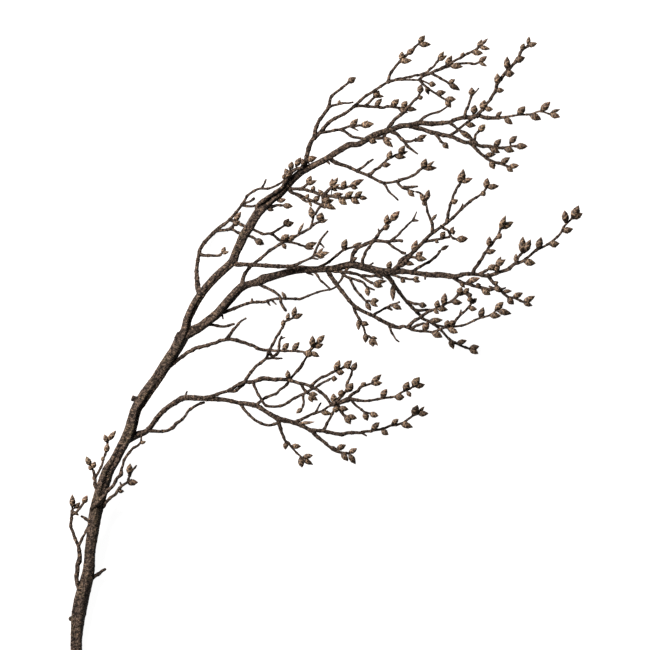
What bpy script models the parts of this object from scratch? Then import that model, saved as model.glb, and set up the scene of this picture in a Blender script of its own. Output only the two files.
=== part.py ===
"""A cut budding branch that lies on a surface: a stem, its sprays of twigs and their buds.

The branch is drawn on a square plan, seen from above. A point of the plan is given in
millimetres: how far across from the left edge, then how far down from the top edge. Each
spray is a text with one row for each limb or twig, in three parts between bars:

    heights | route | buds

The heights are spaced evenly along the limb. The first is where the limb starts, on the
middle line of what carries it, and the others are added to it, or stand alone after an
equals sign. A point of the route is across,down with the radius after it where it changes.
A bud, stub or spur is its base, an arrow, its tip and its width. A row may run on over lines
that start with two spaces. The shorter names below end in:

    TOLERANCE   how far a left-out point may lie from the straight line, in mm
    RADIUS      the least radius of a tube with six sides, and of one with eight
"""

import math
import random

import bmesh
import bpy
import numpy as np
from mathutils import Matrix, Vector

MM = 0.001
PLAN_SIDE = 650

# The gap in mm between a spray and the wood that carries it.
SEAT_GAP = 0.3

LIMB_TOLERANCE = 0.9
TWIG_TOLERANCE = 1.5
LIMB_RADIUS = 3.0
STEM_RADIUS = 5.2

# How far buds tip up from the surface, in degrees, and the narrowest that is modelled, in mm.
BUD_PITCH = (-12, 26)
LEAST_WIDTH = 4.0

# A bud that starts this near a twig's end, in mm, is the twig's own tube carried on.
TIP_REACH = 3.0
SEED = 11

# Rings of a bud: share of its length, then radius as a share of its width.
TIP_BUD_RINGS = ((0.0, 0.34), (0.4, 0.5), (1.0, 0.05))
SIDE_BUD_RINGS = ((0.38, 0.5), (1.0, 0.05))
STALK_SHARE = 0.3

BARK = (0.19, 0.155, 0.13, 1.0)
YOUNG_BARK = (0.16, 0.105, 0.075, 1.0)

SPRAYS = {}

SPRAYS["main_stem"] = """
5.4 6.6 9.5 14 18.5 23 27 30 31.5 32.5 33 33.5 34 34 34.5 35.5 38 42 | 76,658,6.2 76,640,5.8
  77.5,620,6.4 79.5,610,6.5 84,590,6.2 88.8,570,5.8 90.7,550,5.7 93.5,530,6 96.5,510,6.3 101,490,6
  104.5,480,5.8 108.3,470,5.5 114.5,460,5 119.5,450,5 125,440,5.3 130,430,6 135,410,5.5 141,400,5.8
  148,390,5.8 155.5,380,5.7 162,370,5.8 168.5,360,5.6 175,350,5.5 180,340,6 185,330,5 187,320,4.2
  191.5,310,4.4 196,300,4.4 203,289,4.2 213,278,4.1 220,271,4 227,264.5,3.8 233,260,4 236,252,3.8
  240,244,4 244,235,4.2 248,226,4.5 251,218,4.7 256,210,4.6 265,203,4.2 272,198,4 280,192,4 287,184,3.8
  293,177,3.5 300,171,3.4 307,167,3.1 315,163,2.9 325,158.5,3 332,154,3.1 340,149,3.2 349,143.5,3.4
  357,144,3 362,142,3 370,137,3.2 378,133.5,3.3 385,131,3 391,129.5,3 397,127,2.8 402,125.5,2.8
  410,125,2.7 420,122.7,2.5 430,123.3,2.5 437,123,2.3 445,122.3,2 450,121.7,1.8 455,119.3,1.8
  465,116.3,1.8 478,115,1.8 485,117.3,1.8 497,117.7,1.6 508,116.3,1.1 518,114.7,1 530,113.9,1
  538,111.3,1 542,111.3,1 549,113.7,0.9 | 473.5,113.5>475,104.5,6 496,116>502,111,3.5
  504.5,118>512.5,124,5 518,113.5>525,106,6 530,114.5>541,119.5,6 541,110.5>550,101.5,6
  551,112>560,109,3 550,114>560,117,5 278,201>286,199,4 267,208>274,210,4 307,160>317,157,5.5
0 1 | 90,579,1.8 96,575,1.6 105,569,1.2 |
0 1 | 95,524,1.8 88,520,1.4 81,516,1 |
0 1 | 78,620,2.6 70,618.5,2.2 |
0 1 | 139,400,3 131.5,397.5,2.4 |
0 12 15 16 17 16 15 | 92,508,1.8 98,502,1.6 103,496,1.5 108,490,1.5 113,485 117,478,1.4 121,473,1.7
  122,467,1.2 124,460 127,455,1.2 131,450 136,446 141,442,1 | 140,443>146,441,3 141,440>142,432,1.6
0 3 6 | 102,507,1.8 105,503 110,498,1.4 115,494 118,490,1.6 121,486 127,482,1.2 129,476,1.1 |
  129,474>130,463,5.5 127,482>138,482,5.5 118,491>124,491,3.5
0 2 | 271,206,1.6 277,205,1.2 283,205,1 | 283,205>293,206,5
0 4 5 6 5 | 257,207,1.8 262,201,2 268,197,1.6 275,192,1.6 282,187 285,182,1.5 290,174 297,168.5,1.3
  302,167.5,1.2 | 290,169>292,161,5 290,178>285,168,7 284,179>283,174,3 296,166>301,157,5
  303,165>302,158,4
0 6 9 10 | 388,129,1.6 391,124,1.5 395,119 400,115,1.4 404,112 408,107,1.2 412.5,102 416.5,98.3,1.1
  418,97 420,93,1 | 418,98>423,96.5,4 420,93>421,84,5.5
0 3 5 | 392,131,1.8 397,134,1.5 401,138.5 405,142,1.4 409.2,147.4 413.2,150.6,1 417.5,153.5,0.7 |
0 1 | 405,141.5,1.2 410,140.9,1.1 415,139.4,1 | 417,139.5>427,134.5,4.5 415,139.8>423,140.5,2.4
0 2 | 386,131,1.5 383,137,1.3 375,138,1.1 370,139.5,1 | 383,138>393,147,5 383,138>392,139,3
  369,140>377,142,5
0 5 | 465,116,1.4 466,110,1.2 468.6,104.6 471.5,95,1 | 471.5,95.5>471.5,87,5.5 472,95>478.5,88,1.6
0 3 | 420,121,1.3 423,117.8,1.1 428,114.8 433.2,112.7 440,111,1 446.8,106.4,0.8 |
"""

SPRAYS["low_left_spray"] = """
0 1 2 3 | 80,592,1.9 76.5,580,1.8 77,567 79,560,2.1 78.5,548,1.6 76,541,1.4 73,534 71,527,1.3 71,518
  72,510,1.2 | 72,507>72,494,5 74,508>80,502,4 75,511>79,515,1.4
0 1 | 72,514,1.2 76,512,1.1 80,507 83,503,1 | 83,503>87,495,5
0 -2 | 78,546,1.3 81,540,1.1 85,532,0.9 |
"""

SPRAYS["left_cluster"] = """
0 2 | 100,494,1.6 95,486,1.4 94.8,479,1.3 93,470,1.2 | 90,465>86,456,5 92,468>95,461,4.5 92,469>88,466,4
  94.5,479>91.5,476,1.4
0 2 | 95,477,1.2 99,470,1.1 102,464 105,453,1 107,448,1 | 103,461>102,456,3.5 106,452>108,443,5
  107,442>104,434,4.5 108,440>116,430,4.5
"""

SPRAYS["lower_limb"] = """
0 0 -1 -2 -2 -3 -3 | 128,439,3.6 138,434,3.5 145,431.5,2.9 150,427,2.5 158,416 166,408,2.4 175,402
  184,397.5,2.7 200,398,2.6 210,398.7 225,399.7,2.1 238.7,402.7,2 245,403.3,2.3 257,406,2.5
  267.5,412.3,2.2 279,418.4,2.8 291,421.3,2.4 302,425.5,2.2 312,431,2 | 298,423.5>315,421.5,3
  185,396>187,391,1.8
0 -2 -4 -4 | 150,430,1.6 162,431,1.3 172,428 176,423,1.6 182,419,1.2 190,409 196,405 204,402,1.1 |
0 1 1 0 -1 | 312,430.5,1.9 318,430,1.5 330,432,1.6 336,433.3 341,434,1.7 347,432.7 355,432.3,1.4
  361,432.3 367,431 373,430.3,1.1 383,428.3 388,426.3 393.5,424.7 399,424 403,422.3 407,419.6
  412,416,0.9 | 372,429>379.5,422,5 382,430>388.5,434.5,5 392,423.5>398.5,418.5,4.5 401,423>413,427,5.5
  413,414.5>417.5,404.5,6.5 419,412.5>424.5,406,3 418,413.5>428.5,413,5 363,433>366.5,435.5,1.8
0 -2 -4 | 314,432.5,1.8 317,436,1.6 325,442.5 329.3,446.3,1.3 333,448.5,2 340,452,1.2 348,453,1 |
  337,448.5>346,444.5,5 341.5,453>348,461,5 349,452.5>357,448,4.5 349,454>355.5,464,5
0 -2 -4 | 278.5,420,1.8 281,430,1.4 285,439.7,1.2 288,442.6 294.8,450.6,1 301,456.5,0.9 |
  285.5,442>285,449.5,4.5 291.5,445.5>301,446,4.5 300.5,457>302,467.5,5.5 303,457>313,455,4.5
  302.5,458.5>313,464.5,4.5
0 3 4 3 0 | 241,404,1.4 247.3,413,1.2 257,420.8,1.2 268,425 278,422.5,1.2 |
0 2 4 | 297,421,1.5 304.5,417.4,1.2 310,414.8 316,412.4 321,411,1 327,407.4 331,405,0.9 |
  321,411.5>332,413.5,4.5
0 2 | 315.5,412.5,1 318,407,0.8 321,402.5,0.6 |
0 3 | 324,429,1.5 326,425.2,1.3 331.5,415,1.2 334,410,1.1 |
0 3 6 7 8 8 | 205,398,1.9 215,394.7,1.6 230,389.5,1.5 235,386.2 243,382.3,1.6 254,381,1.5 262,378.2,1.9
  270,378.6,1.6 284,379.2,1.5 289,379.4 300,382.9,1.4 312,386,1.3 | 288,378.5>287.5,369.5,4.5
0 0 -1 | 228,390,1.3 235,390.4,1.3 242,385.4,1.2 245,382.2,1.1 |
0 2 3 | 311,385.5,1.3 319,378.6,1.2 325,375.6 335,371,1.1 340,368.5 344,366.5,1 |
  335,370>339.5,359.5,5.5 344,367>352,360,5.5 337,372>344.5,372,5
0 2 3 3 4 | 253,381,1.4 256.5,390.5,1.2 262.2,400.6 266,405.2,1.2 276,406.2 285,404,1.2 295,397.4
  306,392.4 316,386.4,1.1 330,378.5,1 | 331.5,378>337.5,378.5,5
0 1 | 302,385.5,1.2 307,392.5,1.1 310,393.4,1 | 310,393>318,394.5,4 310,395>318,400,4
  310,395>312.5,402,5
0 -1 | 303,394,1.1 303.5,402,1 302.5,407,1 | 302,408>296,413,4
0 2 2 | 311,386.5,1.5 319,390.6,1.4 326,396.6 331,404,1.4 335,405,1.4 |
0 2 3 | 257,404,1.3 264,398.2,1.3 276,393.2,1.2 280,389.4 287,384,1.2 289,379,1.1 |
0 1 4 | 290,378.5,1.2 293,375,1.1 297,370.6 301,366,1.7 303,362,1 |
0 2 3 3 3 | 245,381.5,1.5 250,372.7,1.4 256.8,365.2 264.8,359.4,1.3 268.5,352 273.3,342.7,1.2
  278.5,333.3 282.7,327,1 285,321.5,1 293,317.6,0.9 | 283,326>283.5,319,4 287,319.5>289,312,3.5
  293,316.5>295.5,306,4.5 293.5,317.5>303,313.5,4.5
0 0 | 267,358,1.1 277,358,0.9 282,358,0.8 |
0 1 1 | 269.5,352.5,1.4 273,355.7,1.3 278.5,351.5 278.7,346,1.2 279.6,341 281.5,336,1 |
  281.5,338>285,337,1.4
0 4 | 334,404,2 335,402,3.4 337,400,2 346,390,1.5 346.6,384 351,374.6,1.3 352,370,1.2 |
  334,402>333.5,393,5.5 336,406>336,412.5,6 339,408>348.5,409,5 341,396>342,389,6 347,391>353,382.5,6.5
  350,368>345,364.5,4 352,370>356.5,361.5,5
0 2 4 5 5 | 337,403,1.9 347,399.5,2.6 352,399,2 360,400.2,1.5 368,400.4,1.3 384,397.7,1.2 395.2,396,1.1
  402,391.8 409,388.9,1 412.2,386.8,0.9 | 381.5,397>387,388.5,5.5 395,396.5>404.5,396.5,6
  404,390>408.5,381,6 407,391>411,396.5,4 413,386>419.5,376.5,7 415,386>425,384,5
0 3 | 350,396,1.4 354.8,392,1.2 357.8,390.2,1.5 361,386.6,1.1 370,383.4,1 | 361,386>366,382,4
  371.5,383>381.5,374,5 372,383.5>382.5,382.5,4.5
0 -2 | 352,400,1.2 355,404.4,1.1 360,408 364,411.2,1 369,412.8,0.9 | 364.5,412>367.5,420.5,5.5
  370,413>378.5,415.5,5
0 -1 | 338,406,1.6 343.3,413.8,1.2 345,416,1.1 | 345,415>350.5,424,5.5 347,416>357,418,5
"""

SPRAYS["inner_twig"] = """
0 4 7 9 10 | 168,366,2.2 177,360,1.7 185,354 195,348,1.6 205,345.5 220,340.6,1.4 229,338.5 240,340.9,1.5
  251,344.6,1.3 260,348.8,1.4 270,350 287,350.6,1.1 301,351,1 308,354,1 | 283,349>289,342.5,5
  293,349.5>299.5,341.5,5 304,352.5>313.5,355,7 308,353>312.5,336.5,5 309,353>324.5,334.5,4.5
  309,352>323.5,343.5,5 311,353>319.5,358,4
0 3 | 227,338.8,1.6 233,329.7,1.2 241.2,320.8,0.9 246,317.8,0.7 |
"""

SPRAYS["middle_limb"] = """
0 0 -1 -1 -1 0 0 0 1 2 4 6 9 | 180,337,5 184,335,5 192,330.5,5 200,326.5,4.5 208,320.5,4.5 216,313,4.6
  221,305,4.3 228,297,4.2 238,288,3.9 243,286,3.8 250,283.5,3.2 258,281.5,4 264,278.5,4.5 270,277,4
  290,271.7,3.6 300,269.5,4 310,269.3,3.3 330,268.5,3.3 350,264.3,3.5 360,265.7,3.5 380,270.7,3.6
  390,271,3.4 400,270.7,2.9 410,271.7,2.3 430,274.6,2.5 440,274.7,2.8 455,276.4,2.4 465,273.8,2
  478,274.3,1.8 488,275.4,2.1 500,271.5,1.8 508,268.8,2 514,263.8,1.8 522,261,1.7 528.5,256.2,1.4
  536,249.8,1.5 544,246,1.2 552,240.8 560,233.4,1.2 563.8,226.2 572,217.8,1 | 388,268>391,260.5,5
  515.5,262>516,253,4 524,261>535.5,263,6 537.5,248>541,236.5,6 550,244>559.5,243,6
  563,231>573,228.5,5.5 565.5,222>564.5,210,6 572,217.5>578.5,205,7 573,218>582.5,213,5.5
  425,274>425,279,2 368,266>373,262.5,2
0 3 4 | 516,263,1.4 519,256,1.1 521.5,253,1 | 521.5,252.5>522.5,236,7 524,252>530.5,239,6
0 -4 -5 -4 -3 -3 | 242,285,2.2 244,275,1.7 248,269,1.5 254,263 262,257,1.4 270,250,1.3 283,242
  293,237,1.2 306,230,1.2 311,226,1.1 313,218,1 | 281,239>289,234,5 288,240>296,234.5,5
  283,243>286,249,4 313,218>310,206,5.5 298,233>304,222,1.8
0 -1 | 312,225,1.1 319,221.5,1 | 319.5,221>322,212,7 320,222>328,219,3
0 -4 -7 -8 -8 | 214,315.5,2.4 220,313,1.9 230,309.6,1.7 247,303.2,1.4 258,301.6 264,301.6,1.5
  275.5,298.4,1.3 295,298.4 300,298.6,1.5 308,295.4,1.2 320,291 331,288.8,1 | 222,314>223,318.5,1.8
  267,301>270,305,1.8 272,300>276,304,1.8
0 -2 -3 | 205,324,1.5 212,324.6,1.3 224,326,1.2 234,323.6,1.1 |
0 3 3 | 258,283,1.6 263,286,1.3 274,291.2,1.2 280,297 281,301.5,1.2 283,306.5,1.4 286,310.5,1 |
0 3 | 310,271,1.4 315,272.5,1.1 321,280.4,1 328.5,286.5,0.9 | 307,272>313,274.8,2
0 3 | 348,267,1.4 345.2,271,1.2 343,277.4 341.5,279.5,1 |
0 2 3 3 | 331,270,1.5 338,271.6,1.3 350,272.2,1.5 362,275.2,1.3 377,275.6 382,276,1.2 |
  378,275.8>383,278.5,1.8
0 2 | 361,275.4,1.2 368.5,280.8,1.1 372,282.6,1.1 | 373,283>383,286.5,5 374,282.5>387,280.5,4
0 3 4 | 342,272.5,1.2 348,277,1.1 362,281.5,1.1 367,287,1 | 367,287.5>368.5,296,4.5
  367,287>374.5,289.5,1.8
0 1 1 | 350.5,279,1.1 355.2,288.8,1.1 362.8,297.4 366,300.4,1 370,300.6,1 | 371,301>379,300,5
  370,301.5>378,306.5,3.5 366,302>371,310.5,4.5
0 3 3 | 317,268,1.5 326,263,1.2 338,254 343,249.7,1.1 354,246.4,1 360,244,1 | 343,249>346.5,238.5,5.5
  352,246.8>362,241.8,3.5
0 4 6 7 | 352,264,1.9 352,257,1.6 353.2,252.8,1.9 359.3,246.8,1.6 374,239.5,1.5 380,231.2,1.2
  390.5,221,1 | 386,224>387.5,214,5 391,220>399.5,210.5,6 383,229>390,225,5 352,260>357.5,257,3.5
  379.5,232>378,228.5,1.6
0 5 6 | 362,266,1.5 363,257.6,1.3 366.8,249.8,1.2 374,240.4,1.2 |
0 1 0 | 374,240,1.5 385,241.2,1.3 396.5,240.3,1.2 402,240.6,1.5 |
0 0 | 387,241.2,1.2 392,245.6,1.1 402,252,1.1 405,252.8,1.4 |
0 2 | 391,240.8,1.2 399.2,233,1 410,222.2,0.9 413,219.6,0.7 |
0 -3 -4 | 413,271.5,1.5 418,267.4,1.2 431.2,260 437,254.8,1.1 440,250.4,1 | 441,249.5>449,245,3.5
0 3 5 | 473,273,1.8 474,269.3,1.5 480.2,260.4,1.4 488,248,1.2 493.2,242 498.8,233.6,1.1 500,229.5,1 |
  486.5,252.5>496,250,4.5 489,246>489.5,236,5 497.5,238>501.5,233,4.5 500,229>505.5,215,5
  502,228>513.5,221.5,5.5
0 2 | 480,273.5,1.5 485.2,270.4,1.2 489,268.5,1.1 494,267,1 | 488,269>496,264.5,5 494,270>500,266.5,6
  496,266>501,256,4 496,265.5>505.5,259,5
0 -2 -2 -2 | 453,276,1.7 460,281.2,1.4 476,286,1.2 488,288.8,1.5 495,288.7,1 | 460,282>465,287.5,3.5
  467,281.5>480,277.6,5 476,286>481,284,4.5 482,289>490.5,294.5,5.5
0 -1 -2 -2 | 488,275,1.6 494,283.2,1.3 500,288.5 507.2,296.4,1.2 514,297.5,1.1 523,301.5,1 |
  494,284>498.5,281.5,4 495,286.5>501,292,4.5 503,291>512,290.5,3.5 508,298>514,304,5.5
  513,297>523,292.5,5 523.5,301.5>535,295.5,5 523.5,301.5>532.5,305.5,4.5
0 1 | 389,273,1.4 397.3,276,1.1 408.5,278.6 414,279,1 | 401,279>405.5,282,4 413,279.5>420.5,281.5,3.5
  413.5,279>419,276.5,4
"""

SPRAYS["lower_right_spray"] = """
0 -1 -4 -6 -6 -4 -2 | 326,267,2.5 330,274.5,2.2 336.5,283.8 344,293.4,2 352,303.2 360,309.3,1.9
  373,315.5,1.8 383,321 393.2,325.6,2.1 404,326,1.6 414.5,330,1.4 427,331.1,1.3 433.5,331.4 444.5,327.2
  456,325.9,1.2 465.2,324.2 478,318.4,1.1 490,314.8 496,310.2,0.9 | 423.5,329.5>428.5,321,6
  432,332>442.5,337,6 446.5,326.5>448,319.5,5 450,324>454.5,320,4.5 448,328>458,332.5,5
  480,317>483.5,306.5,5.5 490,315>501,315.5,5.5 495.5,309.5>503.5,301.5,5.5 498,310.5>511.5,313.5,5.5
0 0 | 389,324.5,1.1 393.4,335.8,0.8 399,341.5,0.6 |
0 2 | 373,315.5,1.4 378,311.8,1.1 390,305.4,1 | 388,307>392,309.5,2.5 390.5,305.2>401,309,6
  391,304.8>399.5,301.5,2
0 -2 -2 | 354,306,1.6 356.8,314.8,1.2 361.2,321.2,1.1 365.5,333,1 370,336.8,1 | 361.5,322>369,324.5,4.5
  358,320>358.5,330,4 365.3,333>365.5,342.5,5 371,338>373,346.5,6 371.5,337.5>378,345.5,3.5
  371,337>377.5,338.5,3
0 1 | 412,328,1.3 418,324.6,1.1 424,323,1 |
0 3 | 453,325,1.3 457.2,318,1.1 464,311.4 470,305,1 470.5,301,0.9 | 460,315>461,309.5,1.8
  469,308>477,309,4.5 470.5,302.5>477,298,4.5
0 6 8 8 9 | 409,326,1.6 413.2,321.4,1.4 422,315.8 430,310.8,1.2 450,301.6,1.1 457.2,294.8 461,293.5,1.6
  464,294,1.8 467,298,1.8 | 436,307>438,299.5,5 443,304.5>445,292.5,5.5 451.5,301>462.5,302.5,5
  437,308>448,309.5,5 434,309.5>439,313.5,3.5 458,294>461.5,286.5,5.5 464,293>469,287.5,4.5
  467,298>471,301,5
"""

SPRAYS["under_right_spray"] = """
0 =23 =16 =10 =5 =0.9 | 383,271,2.6 385,274,2.5 389.2,277.8,2.4 396,287.4,1.9 403.5,297.5,1.7
  411.2,306,1.6 420,314.8 423.3,318.5,1.5 431.2,322,1.4 441.2,330 449.2,338.6,1.3 460,344.8
  467.2,347.6,1.2 470,348.6,1.2 | 392.7,283>393.3,301,6 429,321>443,319.5,5 450,339.5>453.5,349,5
  457,343>467,340,4.5 470,348>479.5,346,5 470,349>478.5,353.5,5
0 2 | 407,301.5,1.3 414,303,1.1 419,303.6,1 | 419,304>427,305.5,5
0 0 | 415.5,310,1.3 423,310,1.2 430,309.2,1 |
0 0 | 430.5,322,1.1 436,324.5,1 447,327,0.9 |
"""

SPRAYS["up_limb"] = """
0 4 7 9 10 11 12 | 390,272.5,2.4 398,266.3,2.2 403.5,263.8 410,254.8,2.2 414,250.6 422,242.8,1.9
  430,234.6,1.8 442,225.8,1.6 452,218,1.5 461.2,208.8,1.4 471.4,200,1.4 478,196,1.1 483.6,191.2
  485.6,188.4,1 | 412.5,251>417,239.5,5.5 481,194.5>485.5,191.5,5 486,188>487.5,177.5,5.5
  487,187>499,185.5,5 461,208.5>462.5,203.5,1.8
0 1 0 | 394.5,269,1.3 402,259.4,1.5 409,254.5,1.2 | 403,261>414.5,263.5,4
0 1 | 407.5,257.5,1.3 411,256.5,1.2 416,257.5,1 | 416,257>423,251,5 416,258>427,259,5
0 3 4 | 447,221.5,1.5 447.8,214,1.3 451,202.8,1.2 454,193.2 460,183.4,1.1 | 451.5,203>458,199.5,4.5
  461.5,181.5>463,168.5,5.5 460,183>459,173.5,4.5 461.5,182>472.5,178,4.5
0 2 2 | 432.5,232.5,1.5 431.8,223.5,1.3 427.4,210.8,1.1 425.5,202,1 | 425,202>420,191.5,4.5
  426,200>429,189,5 425,205>421.5,202,3 431,220.5>437,213.5,3
0 -2 | 441,226,1.3 448,230.6,1.1 452,237.2 456,238.6,1 | 456.5,239>468,238,6 450,231.5>454,226,3
  451,232.5>455.5,231,5
0 -2 -3 | 424,241,1.3 430,240.2,1.1 440,238.4 449.3,236.3,1 | 441,237>445,231,5 435,240>439,242.5,3
"""

SPRAYS["right_upper_twig"] = """
0 5 6 6 7 8 | 234,262,3 238,264,2.4 245,264,2 270,265.5,2 280,266,2 290,266,1.8 297,264,1.6 301,262,1.3
  309,258.5,1.2 313,256 317,247,1.1 321,239,1.1 327.5,231,0.8 | 314,254>330,252,5 315,255.5>325,257,4
  320,243>324,247,1.8
"""

SPRAYS["left_arch"] = """
0 =20 =8 =0.7 =5 =8 =9 =10 | 200,291,3.4 197,288,3 196,283,2.8 196,276,2.4 196.5,268,2 199,252,1.8
  201,247,1.9 206,240,1.9 218,228,1.9 225,223,1.7 230,218.5,1.6 239,208,1.5 245,199,1.4 248,194.5,1.3
  258,188.5,1.2 268,188 277,184.5,1.1 284,180,1 | 262,187.5>266,179,2
0 2 | 200.5,254,1.5 206,255,1.2 219,255 221,253,1 | 222,253>225,246,4 222,253>229,251,3
0 6 6 | 216,230,1.5 223,229.5,1.3 233,229.5,1.2 238,232 250,236,1.2 255,238,1.1 | 255,239>264,244,6
  234,221>241,211,4.5
0 1 | 229,229,1.2 234,224,1.1 | 233,225>240,220.5,5
0 6 5 5 5 | 230,219,1.4 243,225,1.3 253,229 263,233.5,1.2 271,233.5,1.2 281,240.5,1.1 292,242
  304,245.5,1 | 305,246>317,242,5 304,246>314,248.5,4
0 2 | 270,233.5,1.2 275,231,1.1 284,225,1 | 284,225>289,218,5 285,225>294,222,5
0 2 | 242,204.5,1.3 250,206,1.1 255,205,1 |
0 2 | 243,203,1.2 248,201.5,1 254,198,1.2 |
"""

SPRAYS["dense_spray"] = """
0 5 6 6 | 286,188,2 292,188.5,1.5 303,189,1.4 314,192,1.3 324,195,1.8 331,196,1.4 345,197.7,1.2
  358.5,197.2,1 | 312,191>314,185,4 345,197>353.5,191,5 355,197>362.5,191,4.5 359,197>367.5,198,4
  351,198>360,203.5,5 332,195>343.5,193.5,4 339,198.5>347,204.5,5 323,195>318,189,4 325,197>329,204,6
0 1 | 301,188.5,1.3 307,184,1.1 | 307,184>311,175,5 307,184>317,180,4
0 -1 -1 | 290,189,1.8 292,192,1.4 303,196,1.2 315,202 320,204,1.2 | 306,198>309,193.5,3.5
  314,201>320,195.5,5
0 1 0 | 296,193.5,1.2 305,200.5,1.1 309,200.5,1 |
0 4 5 | 324,194.5,1.5 332,187,1.3 341,188,1.2 350,186,1 | 332,187>332,178,5 333,185>338,177,3.5
  332,187.5>340,184,3 342,188>345.5,180,5 350,186>364,179,5 351,186.5>358,188,4
0 -1 -2 | 323,195,1.6 323,203,1.3 320,206,1.2 315,214,1 | 324.5,202>334,199.5,4 323,203>336,209,5
  321,205>325,208,1.8
"""

SPRAYS["top_left_limb"] = """
0 0 -2 -3 -4 -3 -2 0 2 | 302,169.5,2.8 305,163,2.4 307,155,2.1 309,147,2.3 312,140,2.1 315,137,2.2
  320,132,2 330,121,1.9 343,114,1.7 349,110 355,105,1.6 365,96,1.5 371,92.5 388,81.5,1.4 395,80,1.2
  404,79.5,1.1 420,80,1 426,82,0.9 | 429,83.5>436,84.5,5
0 1 3 | 315,137,2 315.5,129,1.6 320,119,1.4 328,108,1.4 331,97,1.2 340,89 349,82,1 | 348,82>356,77,5.5
0 1 | 327.5,108,1.2 337,104,1.1 353,102,0.8 | 338,103.5>340,99.5,2.6
0 3 5 | 388,81.5,1.3 391,72,1.2 399,62 408,53,1.1 419,43,1 | 419,43>425,35,5 419,44>431,44,5
  407,54>415,48.5,5 401,60>402,51,5 400,61>412,60,5
0 2 | 387,82,1.3 397,79,1.1 412,76 427,71.5,1.1 438,60.5,1 | 438,59.5>444,51,4 438,60>447,55,4
0 2 4 | 419,80,1.3 423,76,1.2 432,72 443,67,1.2 461,57,1.1 475,49.5 479,46,1 | 446,65>452,55,5
  461,57>464,52,3.5 472,52>483,53,5 478,47>482,39,4 479,46>488,38,3 479,46.5>490,49,4
0 1 | 436,70.5,1.2 443,68,1.1 455,64.5,1 474,64.5 479,62,1 | 450,65.5>463,66.5,5 479,62>487,56,4.5
  479,62>487,66,3
0 1 | 431,72.5,1.2 437,76,1.1 449,83,1 | 449,82.5>455,79,4 449,83.5>460,90,5
0 0 | 420,80,1.2 425,85.7,1.1 437.3,94.3 446,99.5,1 | 426,87>429,94.5,3.5 436,93>446,91.5,5
  446,99>456,99,5 446,100>451,107.5,5
0 -4 -5 -5 | 354.5,105.5,1.4 362,105.5,1.2 381,107 387,106 399,107.5,1.1 405,108,1 | 375,106>382,98,4.5
  391,106>399,98.5,5.5 402,107>407,100.5,5 405,108>417,109.5,4.5 399,109>408,112.5,4
0 1 | 365,105.5,1.2 371,100,1.1 375,96.5,1 | 374,97>379,90,6 376,96>384,96,3
0 -2 -4 -5 | 320,132,1.5 330,131,1.3 341,129.5,1.3 352,136,1.2 358,137.5 366,139,1.1 |
  362,138.5>368,142,3
0 1 | 340,129.5,1.2 348,126.5,1.1 360,125,1 | 350,126.5>358,118,5 361,125>374,124,6 362,125>368,120,3
"""

SPRAYS["right_twig"] = """
0 -1 -1 0 | 329,156.5,2.4 333,161,2.2 340,164,2 347,166,1.8 358,171,1.6 369,175.5,1.5 381,181.7,1.4
  390,182.2,1.2 399,180,1.1 |
0 1 | 357,170.5,1.3 362,167,1.1 371,160,1 373,159,0.8 |
0 1 1 | 368,175,1.4 380,166,1.1 388,158.5 398,154,1 | 388,159>391,150,5 382,165>391,164,4.5
  399,153.5>405,145,5 399,154>408,151,3 395,156>406,157,4.5
0 -1 | 383,182,1.2 389.2,191.2,0.9 398,199.8,0.7 |
0 1 2 | 398,180,1.4 406,178,1.2 415,173.6 422,168,1.1 | 422,167.5>426,158,5.5 424,168.4>437,167.5,4.5
  425,168>434.5,160.5,3
0 -2 | 397,180.5,1.3 400,185.4,1.1 409,190,1 414,191.2,0.8 | 404,187>417.5,186,2.4
  408,189.8>414.5,196.5,4.5
"""

SPRAYS["tip_fork"] = """
0 -2 -3 -3 -3 -2 0 | 410,125,2.2 415,127,2 420,128.4,1.8 430,131.4,1.9 440,133.9,1.8 452,136.4,1.7
  463,141.4,1.7 470,142.2 480,145.3,1.5 492,146.6,1.5 502,147.7,1.2 507,146.5,1 510,145.5,1 |
  494,146>501,138.5,5 490,148>500,152.5,5 509,145>517,135.5,5.5 510,145.5>527.5,145.7,6
  504,148>514.5,151,5
0 -1 -1 | 470,142.5,1.5 480,152.3,1.3 489.3,159.6 500,163,1.2 508,166.2,1 | 485.5,155>496,153.8,4.5
  490.3,161>494.3,169,5.5 501,163>510,157,5 509,166>519,165,4.5 507,167>513,171.5,4.5
0 1 | 436,133.5,1.4 440.6,140.6,1.1 443,142.5,1 | 443,142.5>448.5,148.5,5
0 1 | 473.2,142.5,1.3 475.4,135,1.1 478,131.4,1 | 478.5,131>485,124,5.5
0 1 | 450,135.5,1.3 460.5,127.2,1.1 466.5,123.4,1 471,121.5,0.9 | 466,124>476,125.5,5
0 2 | 464,141,1.4 461,132,1.2 455,126.5,1 | 460,131.5>474,139,6
"""

SPRAYS["top_right_twig"] = """
0 4 5 6 7 | 478,115.5,1.8 479.5,112,1.5 488.5,101,1.3 494.7,91.5 497.5,83,1.2 505,73 517,59.5,1.1 521,51
  528,45.5,1 | 528,45>529,36,3.5 528,45.5>537,43,4.5 521,50>524,43,4.5 515,60.5>525,57,6
  507,69>507,56,5.5 505,73>514,71.5,5 498,84>498,73,7 496,90>504,90,4.5 483,110>484.5,99.5,7
  485,108.5>493,109,4.5
"""


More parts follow.
